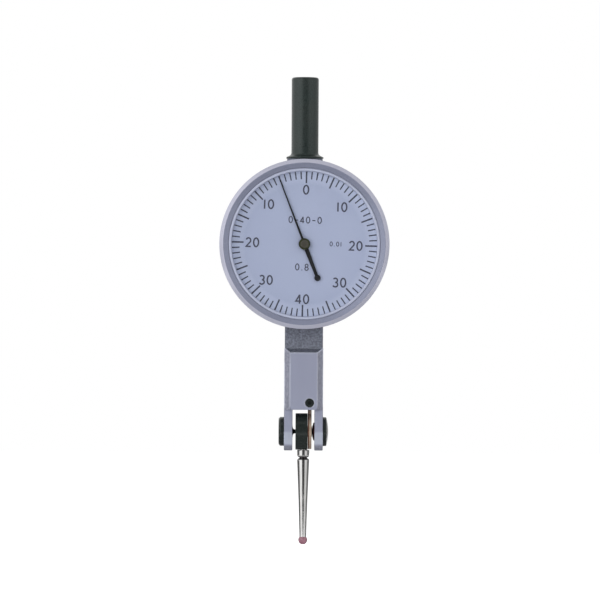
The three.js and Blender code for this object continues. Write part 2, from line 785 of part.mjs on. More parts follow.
function buildCrossArbor() {
  const shoulder = bridgeInner - faceGap;
  const pivotEnd = bridgeInner + bridgeThickness - faceGap;
  const shaft = turnedX(
    [
      [0, -pivotEnd],
      [crossPivotRadius, -pivotEnd],
      [crossPivotRadius, -shoulder],
      [crossArborRadius, -shoulder],
      [crossArborRadius, shoulder],
      [crossPivotRadius, shoulder],
      [crossPivotRadius, pivotEnd],
      [0, pivotEnd],
    ],
    smallSegments,
  );
  const teeth = gearOutline({
    teeth: crossPinionTeeth,
    pitchRadius: crossPinionRadius,
    module: sectorModule,
    backlash: sectorBacklash,
    addendum: sectorModule * addendumShare,
    phase: -Math.PI / 2 + Math.PI / crossPinionTeeth,
  });
  const pinion = prismX(teeth, crossPinionStart, crossPinionStart + crossPinionWidth);
  addPiece(head, 'cross_arbor', brightSteel(), shaft.add(pinion));

  const addendum = crownModule * addendumShare;
  const dedendum = crownModule * dedendumShare;
  const tipX = centrePinionRadius - addendum;
  const rootX = centrePinionRadius + dedendum;
  const backX = rootX + crownDiscThickness;
  const outer = crownOuter;
  const inner = crownRadius - crownFaceWidth / 2;
  const pitchHalf = (Math.PI * crownModule) / 4 - crownBacklash / 2;
  const tipHalf = pitchHalf - addendum * Math.tan(pressureAngle);
  const rootHalf = pitchHalf + dedendum * Math.tan(pressureAngle);
  const toothOutline = [
    [tipX, -tipHalf],
    [backX, -rootHalf],
    [backX, rootHalf],
    [tipX, tipHalf],
  ];
  const disc = turnedX(
    [
      [crossArborRadius + fittedGap, rootX],
      [outer, rootX],
      [outer, backX],
      [crossArborRadius + fittedGap, backX],
    ],
    wheelSegments,
  );
  const rim = turnedX(ringProfile(inner, outer, tipX - addendum, backX), wheelSegments);
  const wheel = [disc];
  for (let i = 0; i < crownTeeth; i += 1) {
    // A tooth lies at the front, in the centre pinion's gap
    const turn = (360 * i) / crownTeeth;
    const tooth = prismY(toothOutline, -inner + faceGap, -outer - faceGap);
    wheel.push(tooth.rotate([turn, 0, 0]).intersect(rim));
  }
  const crown = wheel.reduce((sum, piece) => sum.add(piece));
  addPiece(head, 'crown_gear', brass(), crown);
}

function buildCentreArbor() {
  const cockFrontY = -(crownRadius - centrePinionWidth / 2 - cockGap);
  const cockBackY = cockFrontY + cockThickness;
  const pinionBackY = -(crownRadius - centrePinionWidth / 2);
  const pinionFrontY = -(crownRadius + centrePinionWidth / 2);
  const capFrontY = pointerFrontY - capHeight;
  const shaft = turnedY(
    [
      [0, cockBackY - faceGap],
      [centrePivotRadius, cockBackY - faceGap],
      [centrePivotRadius, cockFrontY - faceGap],
      [centreArborRadius, cockFrontY - faceGap],
      [centreArborRadius, pointerFrontY],
      [0, pointerFrontY],
    ],
    smallSegments,
  );
  const teeth = gearOutline({
    teeth: centrePinionTeeth,
    pitchRadius: centrePinionRadius,
    module: crownModule,
    backlash: crownBacklash,
    addendum: crownModule * addendumShare,
    phase: Math.PI / centrePinionTeeth,
  });
  const pinion = prismY(teeth, pinionBackY, pinionFrontY);
  addPiece(head, 'centre_arbor', brightSteel(), shaft.add(pinion));

  const colletBackY = (hairspringBackY + hairspringFrontY + colletHeight) / 2;
  const collet = ringProfile(
    centreArborRadius + fittedGap,
    colletRadius,
    colletBackY - colletHeight,
    colletBackY,
  );
  addPiece(head, 'hairspring_collet', brass(), turnedY(collet, smallSegments));

  const eye = arc(
    pointerEyeRadius,
    Math.PI / 2 - Math.asin(pointerRootWidth / 2 / pointerEyeRadius),
    -Math.PI / 2 + Math.asin(pointerTailWidth / 2 / pointerEyeRadius),
    smallSegments / 2,
  );
  const weightJoin = Math.asin(pointerTailWidth / 2 / counterweightRadius);
  const weight = arc(
    counterweightRadius,
    Math.PI / 2 - weightJoin,
    -Math.PI / 2,
    smallSegments / 2,
    [0, -counterweightReach],
  );
  const rightSide = [[0, pointerLength], [pointerTipWidth / 2, pointerLength - pointerTipWidth], ...eye, ...weight];
  const leftSide = rightSide.slice(1, -1).reverse().map(([x, z]) => [-x, z]);
  const outline = [...rightSide, ...leftSide];
  const blank = prismY(outline, pointerBackY, pointerFrontY);
  const hole = rodAt([0, 0], centreArborRadius + fittedGap, pointerBackY + cutOverrun, pointerFrontY - cutOverrun);
  const turned = [0, pointerAngle, 0];
  addPiece(head, 'pointer', blackPaint(), blank.subtract(hole), [0, 0, 0], turned);

  const cap = turnedY([
    [0, pointerFrontY - faceGap],
    [capRadius, pointerFrontY - faceGap],
    [capRadius, (pointerFrontY + capFrontY) / 2],
    [capRadius - capHeight / 2, capFrontY],
    [0, capFrontY],
  ]);
  addPiece(head, 'pointer_cap', brass(), cap);
}

// The hairspring's flat strip winds out from the collet to the stud below it
function buildHairspring() {
  const innerRadius = colletRadius + hairspringStrip / 2 + runningGap;
  const endRadius = hairspringOuterRadius - hairspringStrip / 2;
  const steps = hairspringTurns * hairspringStepsPerTurn;
  const positions = [];
  const index = [];
  for (let i = 0; i <= steps; i += 1) {
    const share = i / steps;
    const angle = 2 * Math.PI * hairspringTurns * share;
    const radius = innerRadius + (endRadius - innerRadius) * share;
    for (const [offset, y] of [
      [-hairspringStrip / 2, hairspringFrontY],
      [hairspringStrip / 2, hairspringFrontY],
      [hairspringStrip / 2, hairspringBackY],
      [-hairspringStrip / 2, hairspringBackY],
    ]) {
      positions.push((radius + offset) * Math.cos(angle), y, (radius + offset) * Math.sin(angle));
    }
  }
  for (let i = 0; i < steps; i += 1) {
    for (let k = 0; k < 4; k += 1) {
      const a = i * 4 + k;
      const b = i * 4 + ((k + 1) % 4);
      index.push(a, b, a + 4, b, b + 4, a + 4);
    }
  }
  const last = steps * 4;
  index.push(0, 2, 1, 0, 3, 2, last, last + 1, last + 2, last, last + 2, last + 3);
  const geometry = new THREE.BufferGeometry();
  geometry.setAttribute('position', new THREE.Float32BufferAttribute(positions, 3));
  geometry.setIndex(index);
  const mesh = new THREE.Mesh(geometry, brightSteel());
  mesh.name = 'hairspring';
  mesh.rotation.y = Math.PI / 2;
  head.add(mesh);
}

function buildForkBody() {
  const bevelEdgeX = noseHalf - noseBevelWidth;
  const bevelEdgeY = bodyFrontY + noseBevelDepth;
  const section = [
    [-noseHalf, bodyBackY],
    [-noseHalf, bevelEdgeY],
    [-bevelEdgeX, bodyFrontY],
    [bevelEdgeX, bodyFrontY],
    [noseHalf, bevelEdgeY],
    [noseHalf, bodyBackY],
  ];
  const topWedge = prismX(
    [
      [bodyFrontY - cutOverrun, noseTopZ + cutOverrun],
      [bodyFrontY - cutOverrun, noseTopZ - noseTopBevel],
      [bodyFrontY, noseTopZ - noseTopBevel],
      [bodyFrontY + noseBevelDepth, noseTopZ],
      [bodyFrontY + noseBevelDepth, noseTopZ + cutOverrun],
    ],
    -noseWidth,
    noseWidth,
  );
  const nosePiece = prismZ(section, noseRootHeight, noseTopZ).subtract(topWedge);

  const prongHalf = prongDepth / 2;
  const prongSide = [
    [-prongHalf, noseRootHeight],
    [-prongHalf, -prongReach + prongEndBevel],
    [-prongHalf + prongEndBevel, -prongReach],
    [prongHalf - prongEndBevel, -prongReach],
    [prongHalf, -prongReach + prongEndBevel],
    [prongHalf, noseRootHeight],
  ];
  let solid = nosePiece;
  for (const side of Object.values(mirrored)) {
    const prong = prismX(prongSide, prongInner, noseHalf);
    solid = solid.add(side > 0 ? prong : prong.mirror([1, 0, 0]));
  }

  const tongueHalf = neckHalf - neckWall - faceGap;
  const tongueHalfDepth = tongueDepth / 2;
  const tongueTop = noseTopZ + tongueLength;
  solid = solid.add(
    block(
      [-tongueHalf, -tongueHalfDepth, noseTopZ],
      [tongueHalf, tongueHalfDepth, tongueTop],
    ),
  );

  const landY = bodyBackY - coverThickness;
  const cavityBackY = landY - coverThickness;
  const cavityFrontY = bodyFrontY + noseFrontWall;
  const channelHalf = tongueHollowDepth / 2;
  const seatHalf = cavityHalf + coverSeatWidth;
  const cuts = [
    block([-cavityHalf, cavityFrontY, noseFloorZ], [cavityHalf, cavityBackY, noseTopZ - noseFloor]),
    block([-cavityHalf, -channelHalf, noseFloorZ], [cavityHalf, channelHalf, tongueTop + cutOverrun]),
    block(
      [-cavityHalf, cavityBackY - cutOverrun, noseFloorZ + coverLandHeight],
      [cavityHalf, landY + cutOverrun, noseTopZ - noseFloor - coverLandHeight],
    ),
    block(
      [-seatHalf, landY, noseFloorZ + coverEndWall],
      [seatHalf, bodyBackY + cutOverrun, noseTopZ - noseFloor],
    ),
    block(
      [leverInnerX - workingGap, -leverSlotDepth / 2, noseRootHeight - cutOverrun],
      [leverOuterX + workingGap, leverSlotDepth / 2, noseFloorZ + cutOverrun],
    ),
    turnedX(rodProfile(pivotShankRadius + fittedGap, -noseWidth, noseWidth)),
    turnedX(rodProfile(sectorBearingRadius + fittedGap, -noseWidth, noseWidth)).translate([
      0,
      0,
      sectorPivotZ,
    ]),
    rodAt(
      [adjusterX, adjusterHeight],
      adjusterRadius + fittedGap,
      bodyFrontY + adjusterLength + faceGap,
      bodyFrontY - cutOverrun,
    ),
    turnedX(rodProfile(neckScrew.shank + fittedGap, -noseWidth, noseWidth), smallSegments).translate([
      0,
      0,
      noseTopZ + neckScrewDrop,
    ]),
  ];
  const screwHeights = [
    noseFloorZ + (coverEndWall + coverLandHeight) / 2,
    noseTopZ - noseFloor - coverLandHeight / 2,
  ];
  for (const height of screwHeights) {
    cuts.push(rodAt([0, height], noseScrew.shank + fittedGap, landY + cutOverrun, cavityBackY - cutOverrun));
  }
  for (const cut of cuts) solid = solid.subtract(cut);
  addPiece(nose, 'fork_body', satinMetal(), solid);

  let cover = block(
    [-seatHalf + runningGap, landY, noseFloorZ + coverEndWall + runningGap],
    [seatHalf - runningGap, bodyBackY, noseTopZ - noseFloor - runningGap],
  );
  for (const height of screwHeights) {
    const hole = rodAt([0, height], noseScrew.shank + runningGap, bodyBackY + cutOverrun, landY - cutOverrun);
    cover = cover.subtract(hole);
  }
  addPiece(nose, 'nose_cover', satinMetal(), cover);
  screwHeights.forEach((height, i) => {
    const place = [0, bodyBackY, height];
    addPiece(nose, `nose_screw_${i + 1}`, brightSteel(), screwSolid(noseScrew), place, facingRear);
  });

  const hex = arc(adjusterHexRadius, 0, Math.PI * 2, 6).slice(0, -1);
  const adjusterBackY = bodyFrontY + adjusterLength;
  const adjuster = turnedY(rodProfile(adjusterRadius, bodyFrontY, adjusterBackY)).subtract(
    prismY(hex, bodyFrontY + adjusterHexDepth, bodyFrontY - cutOverrun),
  );
  addPiece(nose, 'adjusting_screw', blackOxide(), adjuster, [adjusterX, 0, adjusterHeight]);
}

function buildSector() {
  const toothAngle = (2 * Math.PI) / sectorFullTeeth;
  const root = sectorPitchRadius - sectorModule * dedendumShare;
  const tip = sectorPitchRadius + sectorModule * sectorAddendumShare;
  const slope = Math.tan(pressureAngle);
  const pitchHalf = (sectorPitchRadius * toothAngle) / 4 - sectorBacklash / 2;
  const rootHalf = pitchHalf + sectorModule * dedendumShare * slope;
  const tipHalf = pitchHalf - sectorModule * sectorAddendumShare * slope;
  const polar = (radius, angle) => [radius * Math.sin(angle), radius * Math.cos(angle)];
  const rimInner = root - sectorRimDepth;
  const rimAngle = toothAngle * sectorTeethEachSide + rootHalf / root;
  const armHalf = sectorArmWidth / 2;
  const outline = [];
  for (let i = -sectorTeethEachSide; i <= sectorTeethEachSide; i += 1) {
    const centre = i * toothAngle;
    outline.push(
      polar(root, centre - rootHalf / root),
      polar(tip, centre - tipHalf / tip),
      polar(tip, centre + tipHalf / tip),
      polar(root, centre + rootHalf / root),
    );
  }
  outline.push(
    polar(rimInner, rimAngle),
    [armHalf, rimInner - sectorRimDepth],
    [armHalf, 0],
    [-armHalf, 0],
    [-armHalf, rimInner - sectorRimDepth],
    polar(rimInner, -rimAngle),
  );
  const slotHalf = leverPinRadius + runningGap;
  const tailEnd = -sectorTail - tailOverreach;
  const blade = prismX(outline, sectorInnerX, sectorOuterX)
    .add(turnedX(rodProfile(sectorHubRadius, sectorInnerX, sectorOuterX)))
    .add(block([sectorInnerX, -tailWidth / 2, tailEnd], [sectorOuterX, tailWidth / 2, 0]))
    .subtract(
      block(
        [sectorInnerX - cutOverrun, -slotHalf, tailEnd - cutOverrun],
        [sectorOuterX + cutOverrun, slotHalf, -sectorHubRadius - tailOverreach],
      ),
    )
    .subtract(turnedX(rodProfile(sectorArborRadius + fittedGap, 0, noseWidth), smallSegments));
  addPiece(nose, 'sector_gear', brass(), blade, [0, 0, sectorPivotZ]);

  const shoulder = cavityHalf - faceGap;
  const pivotEnd = noseHalf - noseWall / 2;
  const arbor = turnedX(
    [
      [0, -pivotEnd],
      [sectorPivotRadius, -pivotEnd],
      [sectorPivotRadius, -shoulder],
      [sectorArborRadius, -shoulder],
      [sectorArborRadius, shoulder],
      [sectorPivotRadius, shoulder],
      [sectorPivotRadius, pivotEnd],
      [0, pivotEnd],
    ],
    smallSegments,
  );
  addPiece(nose, 'sector_arbor', brightSteel(), arbor, [0, 0, sectorPivotZ]);
  for (const [name, side] of Object.entries(mirrored)) {
    const bearing = turnedX([
      [sectorPivotRadius + runningGap, cavityHalf],
      [sectorBearingRadius, cavityHalf],
      [sectorBearingRadius, noseHalf - faceGap],
      [0, noseHalf - faceGap],
      [0, pivotEnd + faceGap],
      [sectorPivotRadius + runningGap, pivotEnd + faceGap],
    ]);
    const placed = side > 0 ? bearing : bearing.mirror([1, 0, 0]);
    addPiece(nose, `sector_bearing_${name}`, brass(), placed, [0, 0, sectorPivotZ]);
  }
}

function buildLever() {
  const topHalf = leverTopWidth / 2;
  const armHalf = leverArmWidth / 2;
  const top = leverArm + leverTopReach;
  const join = Math.asin(armHalf / leverEyeRadius);
  const outline = [
    ...arc(leverEyeRadius, Math.PI / 2 + join, Math.PI * 2 + Math.PI / 2 - join, rodSegments),
    [topHalf, top],
    [-topHalf, top],
  ];
  const lever = prismX(outline, leverInnerX, leverOuterX)
    .subtract(turnedX(rodProfile(axleRadius + fittedGap, 0, noseWidth)))
    .subtract(
      turnedX(rodProfile(leverPinRadius + fittedGap, 0, noseWidth), smallSegments).translate([0, 0, leverArm]),
    );
  addPiece(nose, 'lever', brass(), lever);
  const pin = turnedX(
    rodProfile(leverPinRadius, leverInnerX + faceGap, sectorOuterX + leverPinOverreach),
    smallSegments,
  );
  addPiece(nose, 'lever_pin', brightSteel(), pin, [0, 0, leverArm]);

  const pivotConeEnd = hubLeftX - pivotConeEntry;
  const seatDepth = pivotConeEnd - coneSeatGap;
  const axleRight = bushInnerX - faceGap;
  const rightTipEnd = bushInnerX - pivotRightTipRadius;
  const axle = turnedX([
    [0, -seatDepth],
    [pivotTipRadius + coneSeatGap, -seatDepth],
    [pivotNoseRadius + coneSeatGap, -hubLeftX],
    [axleRadius, -hubLeftX],
    [axleRadius, axleRight],
    [pivotRightTipRadius, axleRight],
    [0, rightTipEnd - coneSeatGap * 2],
  ]);
  addPiece(nose, 'pivot_axle', brightSteel(), axle);

  const hub = turnedX(
    [
      [axleRadius + fittedGap, -hubLeftX],
      [hubRadius - hubEdgeChamfer, -hubLeftX],
      [hubRadius, -hubLeftX + hubEdgeChamfer],
      [hubRadius, hubRightX - hubEdgeChamfer],
      [hubRadius - hubEdgeChamfer, hubRightX],
      [axleRadius + fittedGap, hubRightX],
    ],
    wheelSegments,
  ).subtract(
    turnedZ(
      rodProfile(stylusStubRadius + fittedGap, -hubRadius - cutOverrun, -hubRadius + stylusStubLength + faceGap),
      smallSegments,
    ),
  );
  addPiece(nose, 'stylus_hub', blackOxide(), hub);

  const pivotHead = (domed) => {
    const outer = noseHalf + pivotHeadHeight;
    const edge = domed
      ? Array.from({ length: domeSteps + 1 }, (_, i) => {
          const angle = (Math.PI / 2) * (i / domeSteps);
          const width = pivotHeadRadius - pivotHeadChamfer * 3;
          return [
            pivotHeadRadius - width * (1 - Math.cos(angle)),
            outer - pivotHeadChamfer * 2 + pivotHeadChamfer * 2 * Math.sin(angle),
          ];
        })
      : [
          [pivotHeadRadius, outer - pivotHeadChamfer],
          [pivotHeadRadius - pivotHeadChamfer, outer],
        ];
    return [[pivotShankRadius, noseHalf], [pivotHeadRadius, noseHalf], ...edge, [0, outer]];
  };
  const slot = block(
    [noseHalf + pivotHeadHeight * screwSlotDepthShare, -pivotHeadChamfer, -pivotHeadRadius - cutOverrun],
    [noseHalf + pivotHeadHeight + cutOverrun, pivotHeadChamfer, pivotHeadRadius + cutOverrun],
  );
  const leftScrew = turnedX([
    [0, pivotConeEnd],
    [pivotTipRadius, pivotConeEnd],
    [pivotNoseRadius, hubLeftX],
    [pivotNoseRadius, prongInner - pivotFlareStart],
    [pivotFlareRadius, prongInner - pivotFlareStart * pivotFlareShare],
    [pivotShankRadius, prongInner],
    ...pivotHead(false),
  ]);
  addPiece(nose, 'pivot_screw_left', blackOxide(), leftScrew.subtract(slot).mirror([1, 0, 0]));
  const rightScrew = turnedX([
    [0, rightTipEnd],
    [pivotRightTipRadius - coneSeatGap, bushInnerX - coneSeatGap],
    [pivotRightTipRadius - coneSeatGap, prongInner],
    [pivotShankRadius, prongInner],
    ...pivotHead(true),
  ]);
  addPiece(nose, 'pivot_screw_right', blackOxide(), rightScrew.subtract(slot));
  const bush = turnedX([
    [pivotRightTipRadius, bushInnerX],
    [bushRadius * bushCrownShare, bushInnerX],
    [bushRadius, bushInnerX + bushCrownDrop],
    [bushRadius, prongInner],
    [pivotRightTipRadius, prongInner],
  ]);
  addPiece(nose, 'pivot_bush', darkBronze(), bush);
}

function buildStylus() {
  const neckTop = -hubRadius - fittedGap;
  const neckEnd = neckTop - stylusNeckLength;
  const bodyTop = neckEnd - stylusGrooveWidth;
  const stubTop = -hubRadius + stylusStubLength;
  const shankEnd = -stylusLength + ballRadius / 2;
  const round = stylusRadius - stylusGrooveRadius;
  const neckCentre = [stylusGrooveRadius, neckEnd + round];
  const bodyCentre = [stylusGrooveRadius, bodyTop - round];
  const profile = [
    [0, stubTop],
    [stylusStubRadius, stubTop],
    [stylusStubRadius, neckTop],
    [stylusRadius, neckTop],
    ...arc(round, 0, -Math.PI / 2, stylusRoundSteps, neckCentre),
    ...arc(round, Math.PI / 2, 0, stylusRoundSteps, bodyCentre),
    [stylusMidRadius, -stylusMidReach],
    [stylusTipRadius, shankEnd],
    [0, shankEnd],
  ];
  const ball = toSolid(new THREE.SphereGeometry(ballRadius + fittedGap, ballSegments, ballSegments / 2));
  const shank = turnedZ(profile, wheelSegments).subtract(ball.translate([0, 0, -stylusLength]));
  addPiece(nose, 'stylus', brightSteel(), shank);
  const tip = toSolid(new THREE.SphereGeometry(ballRadius, ballSegments, ballSegments / 2));
  addPiece(nose, 'ball_tip', rubyBall(), tip, [0, 0, -stylusLength]);
}

buildStem();
buildHeadCase();
buildRearCover();
buildMovementPlate();
buildBezel();
buildCrossArbor();
buildCentreArbor();
buildHairspring();
buildForkBody();
buildSector();
buildLever();
buildStylus();

export default indicator;
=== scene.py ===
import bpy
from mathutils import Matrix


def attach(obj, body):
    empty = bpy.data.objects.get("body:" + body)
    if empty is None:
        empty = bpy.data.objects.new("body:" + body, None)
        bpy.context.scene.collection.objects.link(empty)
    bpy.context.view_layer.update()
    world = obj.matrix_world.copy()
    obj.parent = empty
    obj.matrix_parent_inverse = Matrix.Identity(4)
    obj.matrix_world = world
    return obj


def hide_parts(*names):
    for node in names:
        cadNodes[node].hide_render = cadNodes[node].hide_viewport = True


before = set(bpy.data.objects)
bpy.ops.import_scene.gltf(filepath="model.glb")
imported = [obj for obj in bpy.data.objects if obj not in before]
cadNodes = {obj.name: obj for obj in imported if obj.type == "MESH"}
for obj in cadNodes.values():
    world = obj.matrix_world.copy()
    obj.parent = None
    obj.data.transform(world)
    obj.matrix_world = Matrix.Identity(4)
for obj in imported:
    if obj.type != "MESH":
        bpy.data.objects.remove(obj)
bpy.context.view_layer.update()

from math import asin, cos, degrees as inDegrees, pi, radians, sin
from types import SimpleNamespace

import bmesh
import bpy
from mathutils import Matrix, Vector

# Meshes are made in millimetres and become metres when addPiece puts them in the scene
mm = 0.001
tiny = 1e-6  # points nearer than this are one
flush = 0.002  # what is joined stands back by this, so that no two faces lie in one plane
dialCentre = (0, 0, -37)
pivotCentre = (0, 0, -78.5)


def shaderTone(value):
    # sRGB 0-255 to the linear colour that a shader takes; a link stays as it is
    if not isinstance(value, tuple):
        return value

    def linear(value):
        value /= 255
        return value / 12.92 if value <= 0.04045 else ((value + 0.055) / 1.055) ** 2.4
    return (*map(linear, value), 1)


def named(sizes):
    # lets the values of a piece be read as s.radius
    return SimpleNamespace(**sizes)


def softened(profile, steps=3):
    # a third number in a point cuts its corner back by that much and rounds it
    points = []
    count = len(profile)
    mostOfSide = 0.49
    for i, point in enumerate(profile):
        here = Vector(point[:2])
        cut = point[2] if len(point) > 2 else 0
        if not cut:
            points.append(here)
            continue
        before = Vector(profile[i - 1][:2]) - here
        after = Vector(profile[(i + 1) % count][:2]) - here
        start = here + before.normalized() * min(cut, before.length * mostOfSide)
        end = here + after.normalized() * min(cut, after.length * mostOfSide)
        for step in range(steps + 1):
            t = step / steps
            points.append(start * (1 - t) ** 2 + here * 2 * t * (1 - t) + end * t ** 2)
    return points


def arcPoints(cx, cz, rx, rz, start, end, steps=12):
    return [(cx + rx * cos(radians(start + (end - start) * i / steps)),
             cz + rz * sin(radians(start + (end - start) * i / steps))) for i in range(steps + 1)]


def meshOf(build):
    mesh = bpy.data.meshes.new("shape")
    bmesh.ops.recalc_face_normals(build, faces=build.faces)
    build.to_mesh(mesh)
    build.free()
    return mesh


def turned(profile, axis="Y", centre=(0, 0, 0), segments=128):
    # profile points are (radius, place along the axis); one that starts and ends on the axis is a solid
    onAxis = {"X": lambda r, c, s, a: (a, r * c, r * s),
              "Y": lambda r, c, s, a: (r * c, a, r * s),
              "Z": lambda r, c, s, a: (r * c, r * s, a)}[axis]
    build = bmesh.new()
    rings = []
    for radius, along in profile:
        if radius < tiny:
            rings.append([build.verts.new(Vector(onAxis(0, 1, 0, along)) + Vector(centre))])
            continue
        ring = []
        for i in range(segments):
            angle = 2 * pi * i / segments
            place = Vector(onAxis(radius, cos(angle), sin(angle), along))
            ring.append(build.verts.new(place + Vector(centre)))
        rings.append(ring)
    solid = len(rings[0]) == 1
    following = rings[1:] if solid else rings[1:] + rings[:1]
    for lower, upper in zip(rings, following):
        for i in range(segments):
            j = (i + 1) % segments
            corners = [lower[k % len(lower)] for k in (i, j)] + [upper[k % len(upper)] for k in (j, i)]
            corners = list(dict.fromkeys(corners))
            if len(corners) > 2:
                build.faces.new(corners)
    return meshOf(build)


def dialTurned(profile, segments=160, steps=3):
    return turned(softened(profile, steps), "Y", dialCentre, segments)


def rod(radius, start, end, axis="Y", centre=(0, 0, 0), segments=32):
    return turned([(0, start), (radius, start), (radius, end), (0, end)], axis, centre, segments)


def prism(outline, axis, start, end):
    # outline points lie in the plane across the axis: (y, z) for X, (x, z) for Y, (x, y) for Z
    place = {"X": lambda p, a: (a, p[0], p[1]),
             "Y": lambda p, a: (p[0], a, p[1]),
             "Z": lambda p, a: (p[0], p[1], a)}[axis]
    build = bmesh.new()
    near = [build.verts.new(place(point, start)) for point in outline]
    far = [build.verts.new(place(point, end)) for point in outline]
    build.faces.new(near)
    build.faces.new(far)
    for i in range(len(outline)):
        j = (i + 1) % len(outline)
        build.faces.new([near[i], near[j], far[j], far[i]])
    return meshOf(build)


def block(low, high):
    (left, front, bottom), (right, back, top) = low, high
    return prism([(left, bottom), (right, bottom), (right, top), (left, top)], "Y", front, back)


def moved(mesh, offset=(0, 0, 0), turn=None):
    mesh.transform(Matrix.Translation(Vector(offset)) @ (turn.to_4x4() if turn else Matrix.Identity(4)))
    return mesh


def aboutY(degrees):
    return Matrix.Rotation(radians(degrees), 3, "Y")


def addObject(name, data):
    thing = bpy.data.objects.new(name, data)
    bpy.context.scene.collection.objects.link(thing)
    return thing


def joined(base, others, operation="UNION"):
    holder = addObject("holder", base)
    tools = [addObject("tool", mesh) for mesh in others]
    for tool in tools:
        change = holder.modifiers.new("change", "BOOLEAN")
        change.object = tool
        change.operation = operation
        change.solver = "EXACT"
    bpy.context.view_layer.update()
    result = bpy.data.meshes.new_from_object(holder.evaluated_get(bpy.context.evaluated_depsgraph_get()))
    for thing in [holder, *tools]:
        bpy.data.objects.remove(thing)
    return result


def cutFrom(base, others):
    return joined(base, others, "DIFFERENCE")


def edgesRounded(mesh, width, wanted=lambda middle: True, segments=3):
    flatAngle, sharpAngle = radians(1), radians(30)
    build = bmesh.new()
    build.from_mesh(mesh)
    bmesh.ops.remove_doubles(build, verts=build.verts, dist=10 * tiny)
    bmesh.ops.dissolve_limit(build, angle_limit=flatAngle, verts=build.verts, edges=build.edges)
    edges = []
    for edge in build.edges:
        if len(edge.link_faces) == 2 and edge.calc_face_angle(0) > sharpAngle:
            if wanted((edge.verts[0].co + edge.verts[1].co) / 2):
                edges.append(edge)
    bmesh.ops.bevel(build, geom=edges, offset=width, offset_type="OFFSET", segments=segments,
                    profile=0.6, affect="EDGES", clamp_overlap=True)
    return meshOf(build)


def addPiece(name, mesh, finishName, body, replaces=(), crease=32, flatFaces=False):
    build = bmesh.new()
    build.from_mesh(mesh)
    bmesh.ops.remove_doubles(build, verts=build.verts, dist=tiny)
    gaps = [edge for edge in build.edges if edge.is_boundary]  # a cut can drop a sliver of a face
    if gaps:
        bmesh.ops.holes_fill(build, edges=gaps)
    for face in build.faces:
        face.smooth = True
    for edge in build.edges:
        if len(edge.link_faces) != 2 or edge.calc_face_angle(0) > radians(crease):
            edge.smooth = False
    build.to_mesh(mesh)
    build.free()
    mesh.transform(Matrix.Scale(mm, 4))
    mesh.name = name
    mesh.materials.clear()
    mesh.materials.append(finish[finishName])
    piece = addObject(name, mesh)
    if flatFaces:
        even = piece.modifiers.new("even", "WEIGHTED_NORMAL")
        even.keep_sharp = True
        even.weight = 90
    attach(piece, body)
    if replaces:
        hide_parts(*replaces)


def fed(tree, value, socket):
    # a socket takes a link or a plain value
    if hasattr(value, "is_linked"):
        tree.links.new(value, socket)
    else:
        socket.default_value = value


def addNode(tree, kind, inputs={}, **settings):
    node = tree.nodes.new("ShaderNode" + kind)
    for key, value in settings.items():
        setattr(node, key, value)
    for key, value in inputs.items():
        fed(tree, value, node.inputs[key])
    return node


def newMaterial(name, kind="BsdfPrincipled"):
    material = bpy.data.materials.new(name)
    material.use_nodes = True
    tree = material.node_tree
    tree.nodes.clear()
    shader = addNode(tree, kind)
    addNode(tree, "OutputMaterial", {"Surface": shader.outputs[0]})
    return material, tree, shader


def texturePlace(tree, kind="Object"):
    return addNode(tree, "TexCoord").outputs[kind]


def noiseNode(tree, scale, detail=3, stretch=(1, 1, 1)):
    mapping = addNode(tree, "Mapping", {"Vector": texturePlace(tree), "Scale": stretch}).outputs["Vector"]
    inputs = {"Vector": mapping, "Scale": scale, "Detail": detail, "Roughness": 0.55}
    return addNode(tree, "TexNoise", inputs).outputs["Fac"]


def ranged(tree, source, low, high, fromLow=0.3, fromHigh=0.7):
    inputs = {"Value": source, "From Min": fromLow, "From Max": fromHigh, "To Min": low, "To Max": high}
    return addNode(tree, "MapRange", inputs).outputs["Result"]


def mixed(tree, factor, first, second):
    inputs = {"Factor": factor, "A": shaderTone(first), "B": shaderTone(second)}
    return addNode(tree, "Mix", inputs, data_type="RGBA").outputs["Result"]


def combined(tree, operation, first, second=0):
    return addNode(tree, "Math", {0: first, 1: second}, operation=operation).outputs["Value"]


def vectorMath(tree, operation, first, second=(0, 0, 0)):
    return addNode(tree, "VectorMath", {0: first, 1: second}, operation=operation).outputs


def edgeMask(tree, radius, full):
    # how far the rounded normal turns away from the face's own: high on outer edges
    rounded = addNode(tree, "Bevel", {"Radius": radius * mm}, samples=6).outputs["Normal"]
    likeness = vectorMath(tree, "DOT_PRODUCT", rounded, addNode(tree, "NewGeometry").outputs["Normal"])
    return ranged(tree, likeness["Value"], 1, 0, full, 0.99)


def coordinate(tree, kind, letter):
    # one letter of a point's place (Object) or of the way its face looks (Normal)
    return addNode(tree, "SeparateXYZ", {"Vector": texturePlace(tree, kind)}).outputs[letter]


def reachFrom(tree, centre, axis):
    # how far a point lies from an axis through the centre
    offset = vectorMath(tree, "SUBTRACT", texturePlace(tree), [value * mm for value in centre])
    flat = vectorMath(tree, "MULTIPLY", offset["Vector"], [letter != axis for letter in "XYZ"])
    return vectorMath(tree, "LENGTH", flat["Vector"])["Value"]


def turnedLines(tree, centre, axis, perMm):
    # one value for each radius, as a lathe tool leaves it
    inputs = {"W": reachFrom(tree, centre, axis), "Scale": perMm / mm, "Detail": 2}
    return addNode(tree, "TexNoise", inputs, noise_dimensions="1D").outputs["Fac"]


def bumped(tree, shader, source, strength, distance):
    normal = shader.inputs["Normal"]
    bump = addNode(tree, "Bump", {"Strength": strength, "Distance": distance * mm, "Height": source})
    if normal.is_linked:
        tree.links.new(normal.links[0].from_socket, bump.inputs["Normal"])
    tree.links.new(bump.outputs["Normal"], normal)


